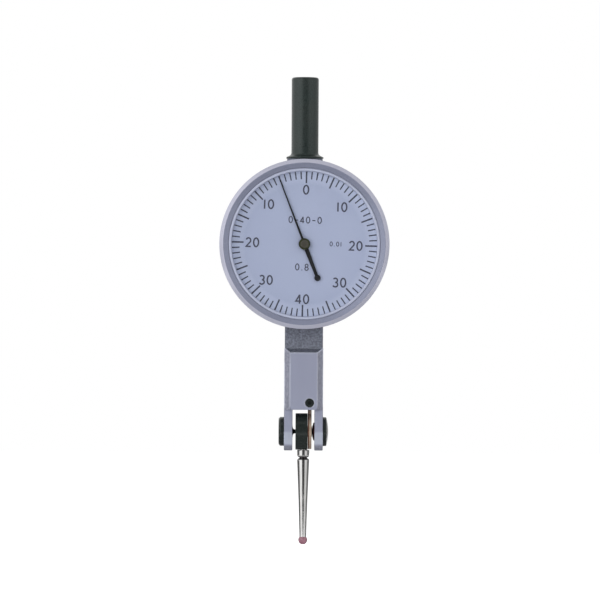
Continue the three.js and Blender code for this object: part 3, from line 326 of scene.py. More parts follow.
def blastedAndShadedSides(tree, look, colour, rough):
    # faces that look to the front or back are smooth, all others rough and mottled and painted darker as
    # shade; faces turned up get a further painted shade
    coarse = noiseNode(tree, look.blastedScale, 4)
    blasted = mixed(tree, ranged(tree, coarse, 0, 1, 0.36, 0.64), *look.blasted)
    aside = ranged(tree, combined(tree, "ABSOLUTE", coordinate(tree, "Normal", "Y")), 1, 0, 0.9, 0.97)
    # painted shade: faces turned up go dark, broken up by the coarse noise
    upward = ranged(tree, coordinate(tree, "Normal", "Z"), 0, 1, 0.2, 0.4)
    colour = mixed(tree, aside, colour, blasted)
    upward = combined(tree, "MULTIPLY", upward, ranged(tree, coarse, 0.6, 1, 0.4, 0.6))
    rough = combined(tree, "ADD", rough, combined(tree, "MULTIPLY", aside, 0.2))
    return mixed(tree, upward, colour, look.castTone), rough


# a band of painted light and shade across one letter of the place, full in the middle and fading at its edges
def paintedBand(tree, stripe, colour):
    letter, middle, half, stripeTone = stripe
    offset = combined(tree, "SUBTRACT", coordinate(tree, "Object", letter), middle * mm)
    share = ranged(tree, combined(tree, "ABSOLUTE", offset), 1, 0, half * 0.7 * mm, half * mm)
    return mixed(tree, share, colour, stripeTone)


# lighter edges: real wear on most finishes; on the fork a painted highlight along the plateau's edges
def wornAndGlintEdges(tree, look, cloud, colour, rough):
    wornAndGlint = edgeMask(tree, look.wearWidth, look.wearFrom)
    wornAndGlint = combined(tree, "MULTIPLY", wornAndGlint, ranged(tree, cloud, 0.35, 1, 0.35, 0.6))
    wornAndGlint = combined(tree, "MULTIPLY", wornAndGlint, look.wearShare)
    # the fork's painted highlight is kept above the given height
    if look.wearAbove:
        bottom = look.wearAbove * mm
        above = ranged(tree, coordinate(tree, "Object", "Z"), 0, 1, bottom, bottom + 0.5 * mm)
        wornAndGlint = combined(tree, "MULTIPLY", wornAndGlint, above)
    smoother = combined(tree, "MULTIPLY", wornAndGlint, 0.12)
    return mixed(tree, wornAndGlint, colour, look.wear), combined(tree, "SUBTRACT", rough, smoother)


commonLook = dict(grainScale=5200, grainStretch=(1, 1, 1), cloudScale=220, cloudShare=0.25,
                  wearFrom=0.86, wearShare=0.3, wearAbove=None, bump=0.2, bumpDepth=0.02)


def metalFinish(name, ownLook):
    look = named({**commonLook, "cloud": ownLook["dark"], **ownLook})
    material, tree, shader = newMaterial(name)
    grain = noiseNode(tree, look.grainScale, 4, look.grainStretch)
    cloud = noiseNode(tree, look.cloudScale, 2)
    colour = mixed(tree, ranged(tree, grain, 0, 1, 0.35, 0.65), look.dark, look.light)
    colour = mixed(tree, ranged(tree, cloud, 0, look.cloudShare), colour, look.cloud)
    rough = ranged(tree, grain, *look.roughness)
    if "blasted" in ownLook:
        colour, rough = blastedAndShadedSides(tree, look, colour, rough)
    if "stripe" in ownLook:
        colour = paintedBand(tree, look.stripe, colour)
    if "wear" in ownLook:
        colour, rough = wornAndGlintEdges(tree, look, cloud, colour, rough)
    bumped(tree, shader, grain, look.bump, look.bumpDepth)
    if "lines" in ownLook:
        centre, axis, perMm, strength = look.lines
        bumped(tree, shader, turnedLines(tree, centre, axis, perMm), strength, 0.01)
    if "rim" in ownLook:
        inner, outer, rimTone = look.rim
        rim = ranged(tree, reachFrom(tree, centre, axis), 0, 1, inner * mm, outer * mm)
        colour = mixed(tree, rim, colour, rimTone)
    tree.links.new(colour, shader.inputs["Base Color"])
    tree.links.new(rough, shader.inputs["Roughness"])
    shader.inputs["Metallic"].default_value = look.metallic
    return material


# a band of painted light and shade is given as (letter, middle, half width, tone): a painted highlight across
# the fork's prongs, painted shade in the stylus groove and on the lever's inner side; lines are (centre,
# axis, per mm, strength) and rim is (radius where it starts, radius where it is full, tone) round the centre
# of the lines
finishes = dict(
    blackOxide=dict(dark=(26, 33, 32), light=(39, 46, 44), cloud=(44, 49, 48), cloudShare=0.3,
        roughness=(0.2, 0.3), metallic=0.2, bump=0.12, wear=(92, 96, 98), wearWidth=0.14),
    stemOxide=dict(dark=(34, 43, 42), light=(50, 60, 58), cloud=(56, 58, 56), cloudShare=0.35,
        roughness=(0.26, 0.36), metallic=0.3, bump=0.12, wear=(92, 96, 98), wearWidth=0.14),
    castMetal=dict(dark=(82, 86, 97), light=(144, 148, 162), cloud=(104, 109, 121), cloudShare=0.5,
        grainScale=2400, roughness=(0.5, 0.72), metallic=0.4, bump=0.9, bumpDepth=0.06,
        wear=(150, 154, 164), wearWidth=0.2, wearShare=0.4),
    satinMetal=dict(dark=(152, 156, 176), light=(166, 170, 191), cloud=(154, 158, 182), cloudShare=0.4,
        # side faces: rough blasted finish with painted shade; faces turned up: painted shade
        grainScale=6800, roughness=(0.3, 0.42), metallic=0.4, blasted=((122, 124, 137), (148, 150, 165)),
        # the lighter band across the prongs is a painted highlight
        blastedScale=2600, castTone=(74, 79, 90), stripe=("Z", -79.9, 1.6, (182, 188, 204)),
        # the pale edges above the prongs are a painted highlight
        wear=(206, 210, 226), wearWidth=0.45, wearShare=1.5, wearFrom=0.965, wearAbove=-73.2),
    bezelMetal=dict(dark=(125, 130, 150), light=(138, 142, 163), cloud=(131, 135, 155), cloudShare=0.35,
        grainScale=6200, roughness=(0.3, 0.42), metallic=0.3, bump=0.15,
        lines=(dialCentre, "Y", 3.2, 0.3), rim=(17.82, 17.92, (183, 184, 200))),
    lipMetal=dict(dark=(178, 184, 206), light=(192, 198, 218), cloud=(172, 178, 200), cloudShare=0.3,
        grainScale=6200, roughness=(0.3, 0.42), metallic=0.3, bump=0.1,
        lines=(dialCentre, "Y", 5, 0.25)),
    rearMetal=dict(dark=(140, 145, 160), light=(160, 164, 178), cloud=(150, 154, 166), cloudShare=0.3,
        roughness=(0.32, 0.44), metallic=0.85, wear=(208, 211, 218), wearWidth=0.2, wearShare=0.4,
        lines=(dialCentre, "Y", 2.4, 0.5)),
    screwSteel=dict(dark=(150, 152, 158), light=(170, 172, 177), cloud=(140, 142, 150), cloudScale=300,
        grainScale=5000, grainStretch=(1, 1, 0.2), roughness=(0.26, 0.36), metallic=0.85, bump=0.04,
        wear=(232, 233, 236), wearWidth=0.1, wearShare=0.5),
    chrome=dict(dark=(206, 205, 204), light=(226, 225, 224), cloud=(196, 195, 196), cloudShare=0.2,
        grainScale=4200, grainStretch=(1, 1, 0.08), roughness=(0.06, 0.11), metallic=1, bump=0.012,
        # the dark band round the groove under the stylus's neck is painted shade
        stripe=("Z", -84.46, 0.36, (86, 84, 84))),
    springSteel=dict(dark=(110, 116, 140), light=(150, 156, 178), grainScale=6000, roughness=(0.2, 0.32),
        metallic=1, bump=0.15),
    brass=dict(dark=(176, 142, 84), light=(204, 172, 112), cloud=(160, 128, 80), roughness=(0.24, 0.38),
        metallic=1, bump=0.22, wear=(226, 204, 156), wearWidth=0.12, wearShare=0.45),
    capBrass=dict(dark=(92, 90, 82), light=(112, 110, 100), cloud=(80, 78, 66), cloudShare=0.35,
        grainScale=8200, roughness=(0.28, 0.42), metallic=0.7, bump=0.25, wear=(78, 76, 56),
        wearWidth=0.1, lines=(dialCentre, "Y", 6, 0.5), rim=(0.84, 0.9, (66, 70, 50))),
    leverBrass=dict(dark=(178, 156, 138), light=(212, 194, 172), cloud=(186, 158, 146), cloudScale=500,
        cloudShare=0.5, roughness=(0.28, 0.42), metallic=0.6, bump=0.25, wear=(214, 198, 178),
        # the dark brown band along the lever's inner side is painted shade
        wearWidth=0.12, wearShare=0.4, stripe=("X", 0.9, 0.42, (104, 66, 50))),
    bushBronze=dict(dark=(70, 36, 40), light=(104, 60, 64), cloud=(60, 34, 38), roughness=(0.3, 0.45),
        metallic=0.6),
    handPaint=dict(dark=(16, 18, 22), light=(28, 30, 34), grainScale=6000, cloudShare=0.1,
        roughness=(0.35, 0.5), metallic=0, bump=0.12),
    printInk=dict(dark=(52, 54, 68), light=(74, 76, 92), grainScale=9000, cloudShare=0.1,
        roughness=(0.5, 0.65), metallic=0, bump=0.1))
finish = {name: metalFinish(name, look) for name, look in finishes.items()}

paintLook = dict(low=(156, 165, 191), high=(166, 175, 200), cloud=(152, 161, 188), cloudShare=0.25,
                 grainScale=9500, cloudScale=120, roughness=(0.5, 0.62), shine=0.35, bump=0.18,
                 pale=(184, 193, 216), paleFrom=13.1, paleTo=15.6)


def dialPaint(name, look):
    material, tree, shader = newMaterial(name)
    grain = noiseNode(tree, look.grainScale, 3)
    cloud = noiseNode(tree, look.cloudScale, 2)
    colour = mixed(tree, ranged(tree, grain, 0, 1), look.low, look.high)
    colour = mixed(tree, ranged(tree, cloud, 0, look.cloudShare), colour, look.cloud)
    # painted light: paler towards the edge of the dial, a glow near its rim
    outer = ranged(tree, reachFrom(tree, dialCentre, "Y"), 0, 1, look.paleFrom * mm, look.paleTo * mm)
    colour = mixed(tree, outer, colour, look.pale)
    tree.links.new(colour, shader.inputs["Base Color"])
    tree.links.new(ranged(tree, grain, *look.roughness), shader.inputs["Roughness"])
    shader.inputs["Specular IOR Level"].default_value = look.shine
    bumped(tree, shader, grain, look.bump, 0.01)
    return material


glassLook = dict(clear=(0.985, 0.985, 0.985, 1), marksScale=900, marksStretch=(1, 1, 14),
                 roughness=(0.03, 0.1), slantPower=5, slantMirror=0.5, frontMirror=0.013)


def clearCrystal(name, look):
    # thin clear glass: mostly lets through, with a faint mirror and hairline marks
    material, tree, mix = newMaterial(name, "MixShader")
    clear = addNode(tree, "BsdfTransparent", {"Color": look.clear})
    rough = ranged(tree, noiseNode(tree, look.marksScale, 4, look.marksStretch), *look.roughness)
    shine = addNode(tree, "BsdfGlossy", {"Color": (1, 1, 1, 1), "Roughness": rough})
    # the mirror grows towards grazing sight, the same for both faces of the glass
    slant = addNode(tree, "LayerWeight", {"Blend": 0.5}).outputs["Facing"]
    grazing = combined(tree, "POWER", slant, look.slantPower)
    mirror = combined(tree, "MULTIPLY", grazing, look.slantMirror)
    share = combined(tree, "ADD", mirror, look.frontMirror)
    for value, socket in zip((share, clear.outputs["BSDF"], shine.outputs["BSDF"]), mix.inputs):
        fed(tree, value, socket)
    return material


stoneLook = dict(grainScale=1400, roughness=(0.08, 0.18), refraction=1.6, depth=0.2, bump=0.04)
stoneTones = dict(ballStone=((130, 84, 98), (170, 124, 138)),
                  bearingStone=((120, 20, 44), (168, 40, 66)))


def stone(name, look, tones):
    material, tree, shader = newMaterial(name)
    cloud = noiseNode(tree, look.grainScale, 3)
    tree.links.new(mixed(tree, ranged(tree, cloud, 0, 1), *tones), shader.inputs["Base Color"])
    tree.links.new(ranged(tree, cloud, *look.roughness), shader.inputs["Roughness"])
    shader.inputs["IOR"].default_value = look.refraction
    shader.inputs["Transmission Weight"].default_value = look.depth
    bumped(tree, shader, cloud, look.bump, 0.01)
    return material


finish["dialPaint"] = dialPaint("dialPaint", named(paintLook))
finish["clearCrystal"] = clearCrystal("clearCrystal", named(glassLook))
for stoneName, tones in stoneTones.items():
    finish[stoneName] = stone(stoneName, named(stoneLook), tones)
print("materials:", len(finish))


stem = dict(radius=3, length=17.15, chamfer=0.28, flare=0.5, collarRadius=4.15, collarBottom=-18.08,
            collarEdge=0.14, footInset=0.2, pegRadius=2, pegBottom=-20.1)


def buildStem():
    s = named(stem)
    shoulder, bottom = -s.length - s.flare, s.collarBottom
    profile = [
        (0, 0), (s.radius - s.chamfer, 0, 0.12), (s.radius, -s.chamfer, 0.18),
        (s.radius, -s.length, s.flare), (s.collarRadius, shoulder, 0.3),
        (s.collarRadius, bottom + s.collarEdge, s.collarEdge),
        (s.collarRadius - s.footInset, bottom, 0.12),
        (s.pegRadius, bottom), (s.pegRadius, s.pegBottom), (0, s.pegBottom)]
    addPiece("stem_body", turned(softened(profile), "Z"), "stemOxide", "case", ["stem"])


screwKinds = dict(
    cover=dict(head=1.15, height=0.5, shank=0.5, length=3.2, coverBore=0.55, caseBore=0.53),
    nose=dict(head=0.85, height=0.35, shank=0.42, length=1.6, coverBore=0.47, caseBore=0.45),
    neck=dict(head=0.9, height=0.32, shank=0.45, length=1.1, headBore=0.95, caseBore=0.48))
screwPlaces = dict(cover=[(90, 15.6), (210, 15.6), (330, 15.6)],  # degrees and reach on the dial
                   nose=(-71.25, -62.1), neck=-57.8)  # heights
screwSlot = dict(halfShare=0.14, floorShare=0.25)  # of the head's radius and height
screwTurns = dict(cover=(25, 75, 125), nose=(60, -15), neck=35)  # degrees that the slots are turned


def onDial(degrees, radius, y=0):
    angle = radians(degrees)
    return radius * cos(angle), y, dialCentre[2] + radius * sin(angle)


headCase = dict(radius=18, inner=16.2, front=-3.7, back=4.4, recessRadius=17.2, seat=3.6, recessEnd=9,
                spigotRadius=16.42, spigotFront=-5.6, spigotInner=15.42, ledgeInner=13.2, ledgeBack=-2.6,
                grooveFront=-4.98, grooveBack=-4.62, grooveDepth=0.5, frontEdge=0.3, backEdge=0.45,
                neckHalf=4.22, neckBack=4.1, neckBottom=-60, neckEdge=0.22, bossHalf=3.93,
                bossTop=-18.08, bossEdge=0.3, rootReach=15, overlap=0.2, postRadius=1.2,
                postBore=(4.2, 0.6), pegBore=(2.03, -17, -20.15), headSink=0.37, screwSink=0.32,
                socket=((-3.5, -3.05, -61), (3.5, 3.05, -55.4)),
                passage=((-2.75, -2.2, -56), (2.75, 2.2, -51.5)))


def buildHeadCase():
    c = named(headCase)
    grooveFloor = c.spigotRadius - c.grooveDepth
    ring = [
        (c.ledgeInner, c.front), (c.spigotInner, c.front), (c.spigotInner, c.spigotFront),
        (c.spigotRadius, c.spigotFront), (c.spigotRadius, c.grooveFront),
        (grooveFloor, c.grooveFront), (grooveFloor, c.grooveBack), (c.spigotRadius, c.grooveBack),
        (c.spigotRadius, c.front), (c.radius, c.front, c.frontEdge),
        (c.radius, c.back, c.backEdge), (c.recessRadius, c.back, 0.12),
        (c.recessRadius, c.seat), (c.inner, c.seat), (c.inner, c.ledgeBack),
        (c.ledgeInner, c.ledgeBack)]
    half, bossHalf, under = c.neckHalf, c.bossHalf, c.overlap
    front, middleZ = c.front + flush, dialCentre[2]
    neck = block((-half, front, c.neckBottom), (half, c.neckBack, middleZ - c.rootReach))
    # only the neck's four upright edges are rounded
    neck = edgesRounded(neck, c.neckEdge, lambda middle: abs(middle.x) > half - 0.1 and -64 < middle.z < -48)
    top = block((-bossHalf, front, middleZ + c.rootReach), (bossHalf, c.neckBack, c.bossTop))
    top = edgesRounded(top, c.bossEdge)
    # neck and boss end inside the ring
    inner, recess, seat = c.inner + under, c.recessRadius + under, c.seat - under
    hollow = turned([(0, c.ledgeBack - under), (inner, c.ledgeBack - under), (inner, seat),
                     (recess, seat), (recess, c.recessEnd), (0, c.recessEnd)], "Y", dialCentre, 160)
    shell = joined(dialTurned(ring), [cutFrom(neck, [hollow]), cutFrom(top, [hollow])])

    cuts = [block(*c.socket), block(*c.passage), rod(*c.pegBore, "Z", segments=48)]
    bore, head, sink = screwKinds["neck"]["caseBore"], screwKinds["neck"]["headBore"], half - c.headSink
    for side in (-1, 1):
        steps = [(0, 3), (bore, 3), (bore, sink), (head, sink), (head, half + 1), (0, half + 1)]
        cuts.append(turned([(r, side * x) for r, x in steps], "X", (0, 0, screwPlaces["neck"]), 48))
    for place in screwPlaces["cover"]:
        centre = onDial(*place)
        shell = joined(shell, [rod(c.postRadius, c.seat - flush, c.ledgeBack - 1.5 * under, "Y", centre)])
        cuts.append(rod(screwKinds["cover"]["caseBore"], *c.postBore, "Y", centre))
    shell = cutFrom(shell, cuts)
    addPiece("case_shell", shell, "castMetal", "case", ["head_case"], flatFaces=True)


rearCover = dict(radius=17.15, seat=3.6, face=4.7, edge=0.35, grooveDepth=0.12, grooveMouth=(15.0, 14.0),
                 grooveFloor=(14.7, 14.3))


def buildRearCover():
    c = named(rearCover)
    deep = c.face - c.grooveDepth
    profile = [
        (0, c.seat), (c.radius, c.seat, 0.06), (c.radius, c.face, c.edge),
        (c.grooveMouth[0], c.face), (c.grooveFloor[0], deep, 0.1), (c.grooveFloor[1], deep, 0.1),
        (c.grooveMouth[1], c.face), (0, c.face)]
    bore = screwKinds["cover"]["coverBore"]
    holes = [rod(bore, 3, 6, "Y", onDial(*place)) for place in screwPlaces["cover"]]
    cover = cutFrom(dialTurned(profile), holes)
    addPiece("back_cover", cover, "rearMetal", "case", ["rear_cover"], flatFaces=True)


def slottedScrew(kind, slotTurn):
    k = named(screwKinds[kind])
    body = turned(softened([
        (0, -k.length), (k.shank, -k.length, 0.1), (k.shank, 0), (k.head, 0, 0.03),
        (k.head, k.height, k.height * 0.5), (0, k.height)]), "Z", (0, 0, 0), 40)
    half, floor = k.head * screwSlot["halfShare"], k.height * screwSlot["floorShare"]
    slot = block((-k.head - 1, -half, floor), (k.head + 1, half, k.height + 1))
    return moved(cutFrom(body, [slot]), turn=Matrix.Rotation(radians(slotTurn), 3, "Z"))


def addScrew(name, kind, place, facing, node, slotTurn):
    turn = Vector((0, 0, 1)).rotation_difference(Vector(facing)).to_matrix()
    mesh = moved(slottedScrew(kind, slotTurn), place, turn)
    addPiece(name, mesh, "screwSteel", "case", [node])


def buildScrews():
    for i, place in enumerate(screwPlaces["cover"]):
        addScrew(f"back_screw_{i + 1}", "cover", onDial(*place, rearCover["face"]), (0, 1, 0),
                 f"cover_screw_{i + 1}", screwTurns["cover"][i])
    neckSeat = headCase["neckHalf"] - headCase["screwSink"]
    for name, side in (("left", -1), ("right", 1)):
        addScrew(f"joint_screw_{name}", "neck", (side * neckSeat, 0, screwPlaces["neck"]), (side, 0, 0),
                 f"neck_screw_{name}", side * screwTurns["neck"])
    for i, z in enumerate(screwPlaces["nose"]):
        addScrew(f"lid_screw_{i + 1}", "nose", (0, nose["back"], z), (0, 1, 0),
                 f"nose_screw_{i + 1}", screwTurns["nose"][i])


bezelLook = dict(radius=18.72, rear=-3.9, edge=0.3, crest=-9.04, flankDrop=0.78, flankRadius=17.94,
                 crestRadius=17.77, slopeRadius=16.77, slopeEnd=-8.42, frontBore=16.75, rearBore=16.5,
                 dialSeat=-6.3, grooveFront=-5.0, grooveBack=-4.3, grooveDepth=0.5)
lipLook = dict(inner=16.0, outer=16.72, rear=-6.3, glassSeat=-7.5, glassWall=16.3, hookBack=-8.22,
               hookInner=16.1, face=-8.44, faceOuter=16.62, stepRadius=16.64, step=-8.16)
glassSize = dict(radius=16.27, rear=-7.5, front=-8.2, edge=0.12)


def buildBezel():
    b = named(bezelLook)
    groove, bore, edge = b.rearBore + b.grooveDepth, b.rearBore, b.edge
    profile = [
        (bore, b.rear), (b.radius - edge, b.rear, edge / 2), (b.radius, b.rear - edge, edge / 2),
        (b.radius, b.crest + b.flankDrop, 0.16), (b.flankRadius, b.crest, 0.1),
        (b.crestRadius, b.crest, 0.05), (b.slopeRadius, b.slopeEnd, 0.02),
        (b.frontBore, b.slopeEnd), (b.frontBore, b.dialSeat), (bore, b.dialSeat),
        (bore, b.grooveFront), (groove, b.grooveFront), (groove, b.grooveBack), (bore, b.grooveBack)]
    addPiece("bezel_ring", dialTurned(profile, 240, 5), "bezelMetal", "bezel", ["bezel"])

    p = named(lipLook)
    lip = [
        (p.inner, p.rear), (p.inner, p.glassSeat), (p.glassWall, p.glassSeat),
        (p.glassWall, p.hookBack), (p.hookInner, p.hookBack, 0.08), (p.hookInner, p.face, 0.2),
        (p.faceOuter, p.face, 0.2), (p.stepRadius, p.step, 0.02), (p.outer, p.step),
        (p.outer, p.rear)]
    addPiece("crystal_rim", dialTurned(lip, 240, 5), "lipMetal", "bezel", ["crystal_ring"])

    g = named(glassSize)
    glass = [(0, g.rear), (g.radius, g.rear), (g.radius, g.front, g.edge), (0, g.front)]
    addPiece("glass", dialTurned(glass), "clearCrystal", "bezel", ["crystal"])


dialLook = dict(turn=1.46, face=-6.3, rear=-6.0, radius=16.72, bore=1.2, inkHeight=0.015, inkRoot=0.02,
                ticks=80, majorEvery=5, outer=15.98, minorInner=14.3, majorInner=13.4, tickWidth=0.27,
                majorWidth=0.34)
digitLook = dict(height=2.05, width=1.28, stroke=0.33, gap=0.4, smallWidthShare=0.62, smallGapShare=0.26)
numberRing = [  # text, degrees round the dial, reach from its centre
    ("0", 0, 11.97), ("10", 43.5, 11.58), ("20", 90.3, 11.29), ("30", 136.1, 11.46),
    ("40", 180.5, 12.15), ("30", 225.3, 11.6), ("20", 270.2, 11.5), ("10", 316.2, 11.83)]
smallNumbers = [  # text, place across and up from the centre, height, stroke
    ("0-40-0", (0, 5.3), 1.45, 0.23), ("0.01", (6.9, 0.2), 1.0, 0.17), ("0.8", (-0.4, -5.1), 1.45, 0.23)]

# each digit is drawn in a box one wide and one high
glyphs = {
    "0": [arcPoints(0.5, 0.5, 0.42, 0.46, 90, 450, 28)],
    "1": [[(0.5, 0.0), (0.5, 0.97)]],
    "2": [arcPoints(0.5, 0.7, 0.38, 0.26, 165, -40, 14) + [(0.12, 0.04), (0.92, 0.04)]],
    "3": [arcPoints(0.46, 0.73, 0.36, 0.23, 150, -90, 14), arcPoints(0.46, 0.27, 0.42, 0.24, 90, -155, 14)],
    "4": [[(0.7, 0.0), (0.7, 0.97)], [(0.7, 0.96), (0.06, 0.27), (0.98, 0.27)]],
    "8": [arcPoints(0.5, 0.74, 0.34, 0.22, 90, 450, 22), arcPoints(0.5, 0.26, 0.4, 0.24, 90, 450, 22)],
    ".": [[(0.5, 0.0), (0.5, 0.13)]],
    "-": [[(0.12, 0.45), (0.88, 0.45)]],
}
narrow = {"1": 0.55, ".": 0.45}


def ribbon(points, width, rear, front):
    closed = (Vector(points[0]) - Vector(points[-1])).length < tiny
    path = [Vector(point) for point in (points[:-1] if closed else points)]
    count = len(path)
    left, right = [], []
    for i, here in enumerate(path):
        before = path[i - 1] if closed or i else here - (path[1] - here)
        after = path[(i + 1) % count] if closed or i < count - 1 else here + (here - path[i - 1])
        a, b = (here - before).normalized(), (after - here).normalized()
        across = Vector((-(a + b).y, (a + b).x)).normalized()
        reach = width / 2 / max(0.5, across.dot(Vector((-a.y, a.x))))
        left.append(here + across * reach)
        right.append(here - across * reach)
    build = bmesh.new()
    rows = [[build.verts.new((point.x, y, point.y)) for point in edge]
            for edge in (left, right) for y in (rear, front)]
    order = [rows[0], rows[1], rows[3], rows[2]]
    for i in range(count if closed else count - 1):
        j = (i + 1) % count
        for one, two in zip(order, order[1:] + order[:1]):
            build.faces.new([one[i], one[j], two[j], two[i]])
    if not closed:
        build.faces.new([row[0] for row in order])
        build.faces.new([row[-1] for row in order])
    return meshOf(build)


def lettering(text, height, width, stroke, gap):
    advance = [width * narrow.get(mark, 1) for mark in text]
    total = sum(advance) + gap * (len(text) - 1)
    rear, front = dialLook["face"] + dialLook["inkRoot"], dialLook["face"] - dialLook["inkHeight"]
    x = -total / 2
    build = bmesh.new()
    for mark, wide in zip(text, advance):
        shift = 0.5 * (wide - width)
        strokes = []
        for line in glyphs[mark]:
            points = [(x + px * width + shift, (pz - 0.5) * height) for px, pz in line]
            strokes.append(ribbon(points, stroke, rear, front))
        build.from_mesh(strokes[0] if len(strokes) == 1 else joined(strokes[0], strokes[1:]))
        x += wide + gap
    return meshOf(build)


def buildDial():
    d = named(dialLook)
    disc = [(d.bore, d.rear), (d.radius, d.rear), (d.radius, d.face), (d.bore, d.face, 0.05)]
    addPiece("dial_plate", dialTurned(disc), "dialPaint", "bezel", ["dial"])

    marks = bmesh.new()
    for i in range(d.ticks):
        major = i % d.majorEvery == 0
        inner = d.majorInner if major else d.minorInner
        half = (d.majorWidth if major else d.tickWidth) / 2
        bar = block((-half, d.face - d.inkHeight, inner), (half, d.face + d.inkRoot, d.outer))
        marks.from_mesh(moved(bar, dialCentre, aboutY(360 * i / d.ticks + d.turn)))
    addPiece("dial_marks", meshOf(marks), "printInk", "bezel")

    g = named(digitLook)
    numbers = bmesh.new()
    for text, degrees, radius in numberRing:
        angle = radians(degrees)
        mesh = lettering(text, g.height, g.width, g.stroke, g.gap)
        moved(mesh, (radius * sin(angle), 0, radius * cos(angle)))
        numbers.from_mesh(moved(mesh, dialCentre, aboutY(d.turn)))
    for text, (x, z), height, stroke in smallNumbers:
        mesh = lettering(text, height, height * g.smallWidthShare, stroke, height * g.smallGapShare)
        numbers.from_mesh(moved(moved(mesh, (x, 0, z)), dialCentre, aboutY(d.turn)))
    addPiece("dial_numbers", meshOf(numbers), "printInk", "bezel")


hand = dict(angle=-21.2, tip=15.1, tipTaper=0.25, tipWidth=0.24, rootReach=1.4, rootWidth=0.48,
            tailWidth=0.7, eye=0.95, weight=0.7, weightReach=8, rear=-6.6, front=-6.8, bore=0.34)
boss = dict(radius=1.28, rear=-6.85, front=-7.25, edge=0.3, dishRadii=(0.95, 0.86), dishFloor=-7.19)


def buildPointer():
    h = named(hand)
    eye = arcPoints(0, 0, h.eye, h.eye, 72, -60, 11)
    start = inDegrees(asin(h.tailWidth / 2 / h.weight))
    weight = arcPoints(0, -h.weightReach, h.weight, h.weight, 90 - start, -90, 10)
    side = [(0, h.tip), (h.tipWidth / 2, h.tip - h.tipTaper), (h.rootWidth / 2, h.rootReach)]
    side += eye + weight[:-1]
    outline = side + [weight[-1]] + [(-x, z) for x, z in reversed(side[1:])]
    blank = prism(outline, "Y", h.rear, h.front)
    blank = edgesRounded(blank, 0.05, lambda middle: middle.y < h.front + 0.01, 2)
    hole = rod(h.bore, h.rear + 0.6, h.front - 0.7, segments=24)
    mesh = moved(cutFrom(blank, [hole]), dialCentre, aboutY(h.angle))
    addPiece("pointer_hand", mesh, "handPaint", "pointer", ["pointer"], flatFaces=True)

    b = named(boss)
    mouth, floor = b.dishRadii
    cap = [(0, b.rear), (b.radius, b.rear), (b.radius, b.front, b.edge), (mouth, b.front, 0.06),
           (floor, b.dishFloor, 0.06), (0, b.dishFloor)]
    addPiece("pointer_boss", dialTurned(cap, 64), "capBrass", "pointer", ["pointer_cap"])


nose = dict(half=4.3, back=4.4, front=-4.4, bevelWidth=1.3, bevelDepth=0.9, top=-60, root=-73.6,
            topBevel=1.0, corner=0.55, edge=0.16, prongInner=2.43, prongDepth=3.5, prongEnd=-82.65,
            prongRoot=2, prongEdge=0.22, endBevel=1.1, tongue=((-3.45, -3, -61), (3.45, 3, -55.6)))
noseRooms = dict(  # opposite corners of what is cut out
    movement=((-2.75, -2.75, -72.4), (2.75, 2.6, -61.2)), passage=((-2.75, -2.2, -72.4), (2.75, 2.2, -55)),
    window=((-2.75, 2.1, -70.6), (2.75, 4, -63)), lidSeat=((-3.4, 3.5, -71.9), (3.4, 5, -61.2)),
    leverSlot=((1.0, -1.1, -74), (2.1, 1.1, -72)))
noseBores = [  # radius, height and segments of the bores from side to side
    (1.63, pivotCentre[2], 48), (0.83, -65, 32), (screwKinds["neck"]["caseBore"], screwPlaces["neck"], 24)]
lidLook = dict(corners=((-3.35, 3.5, -71.85), (3.35, 4.4, -61.25)), edge=0.12)
setScrew = dict(x=1.33, z=-72.06, radius=0.97, rear=-3.0, front=-4.4, edge=0.14, hexagon=0.5,
                hexagonFloor=-3.7, bore=1.0, mouth=1.04, mouthStep=(-4.38, -4.34), boreEnd=-2.95)


def noseBlank():
    n = named(nose)
    edge, shoulder = n.half - n.bevelWidth, n.front + n.bevelDepth
    section = [(-n.half, n.back), (-n.half, shoulder), (-edge, n.front), (edge, n.front),
               (n.half, shoulder), (n.half, n.back)]
    body = prism(section, "Z", n.root, n.top)
    before, bevelStart = n.front - 1, n.top - n.topBevel
    wedge = prism([(before, n.top + 1), (before, bevelStart), (n.front, bevelStart), (shoulder, n.top),
                   (shoulder, n.top + 1)], "X", -6, 6)
    body = cutFrom(body, [wedge])
    # the plateau's lower corners are rounded where it steps down to the prongs
    corner = n.corner
    for side in (-1, 1):
        cutter = [(edge + 0.02, n.root - 1), (edge + 0.02, n.root + corner),
                  *arcPoints(edge - corner, n.root + corner, corner, corner, 0, -90, 6),
                  (edge - corner, n.root - 1)]
        body = cutFrom(body, [prism([(side * x, z) for x, z in cutter], "Y", before, shoulder)])
    return edgesRounded(body, n.edge)


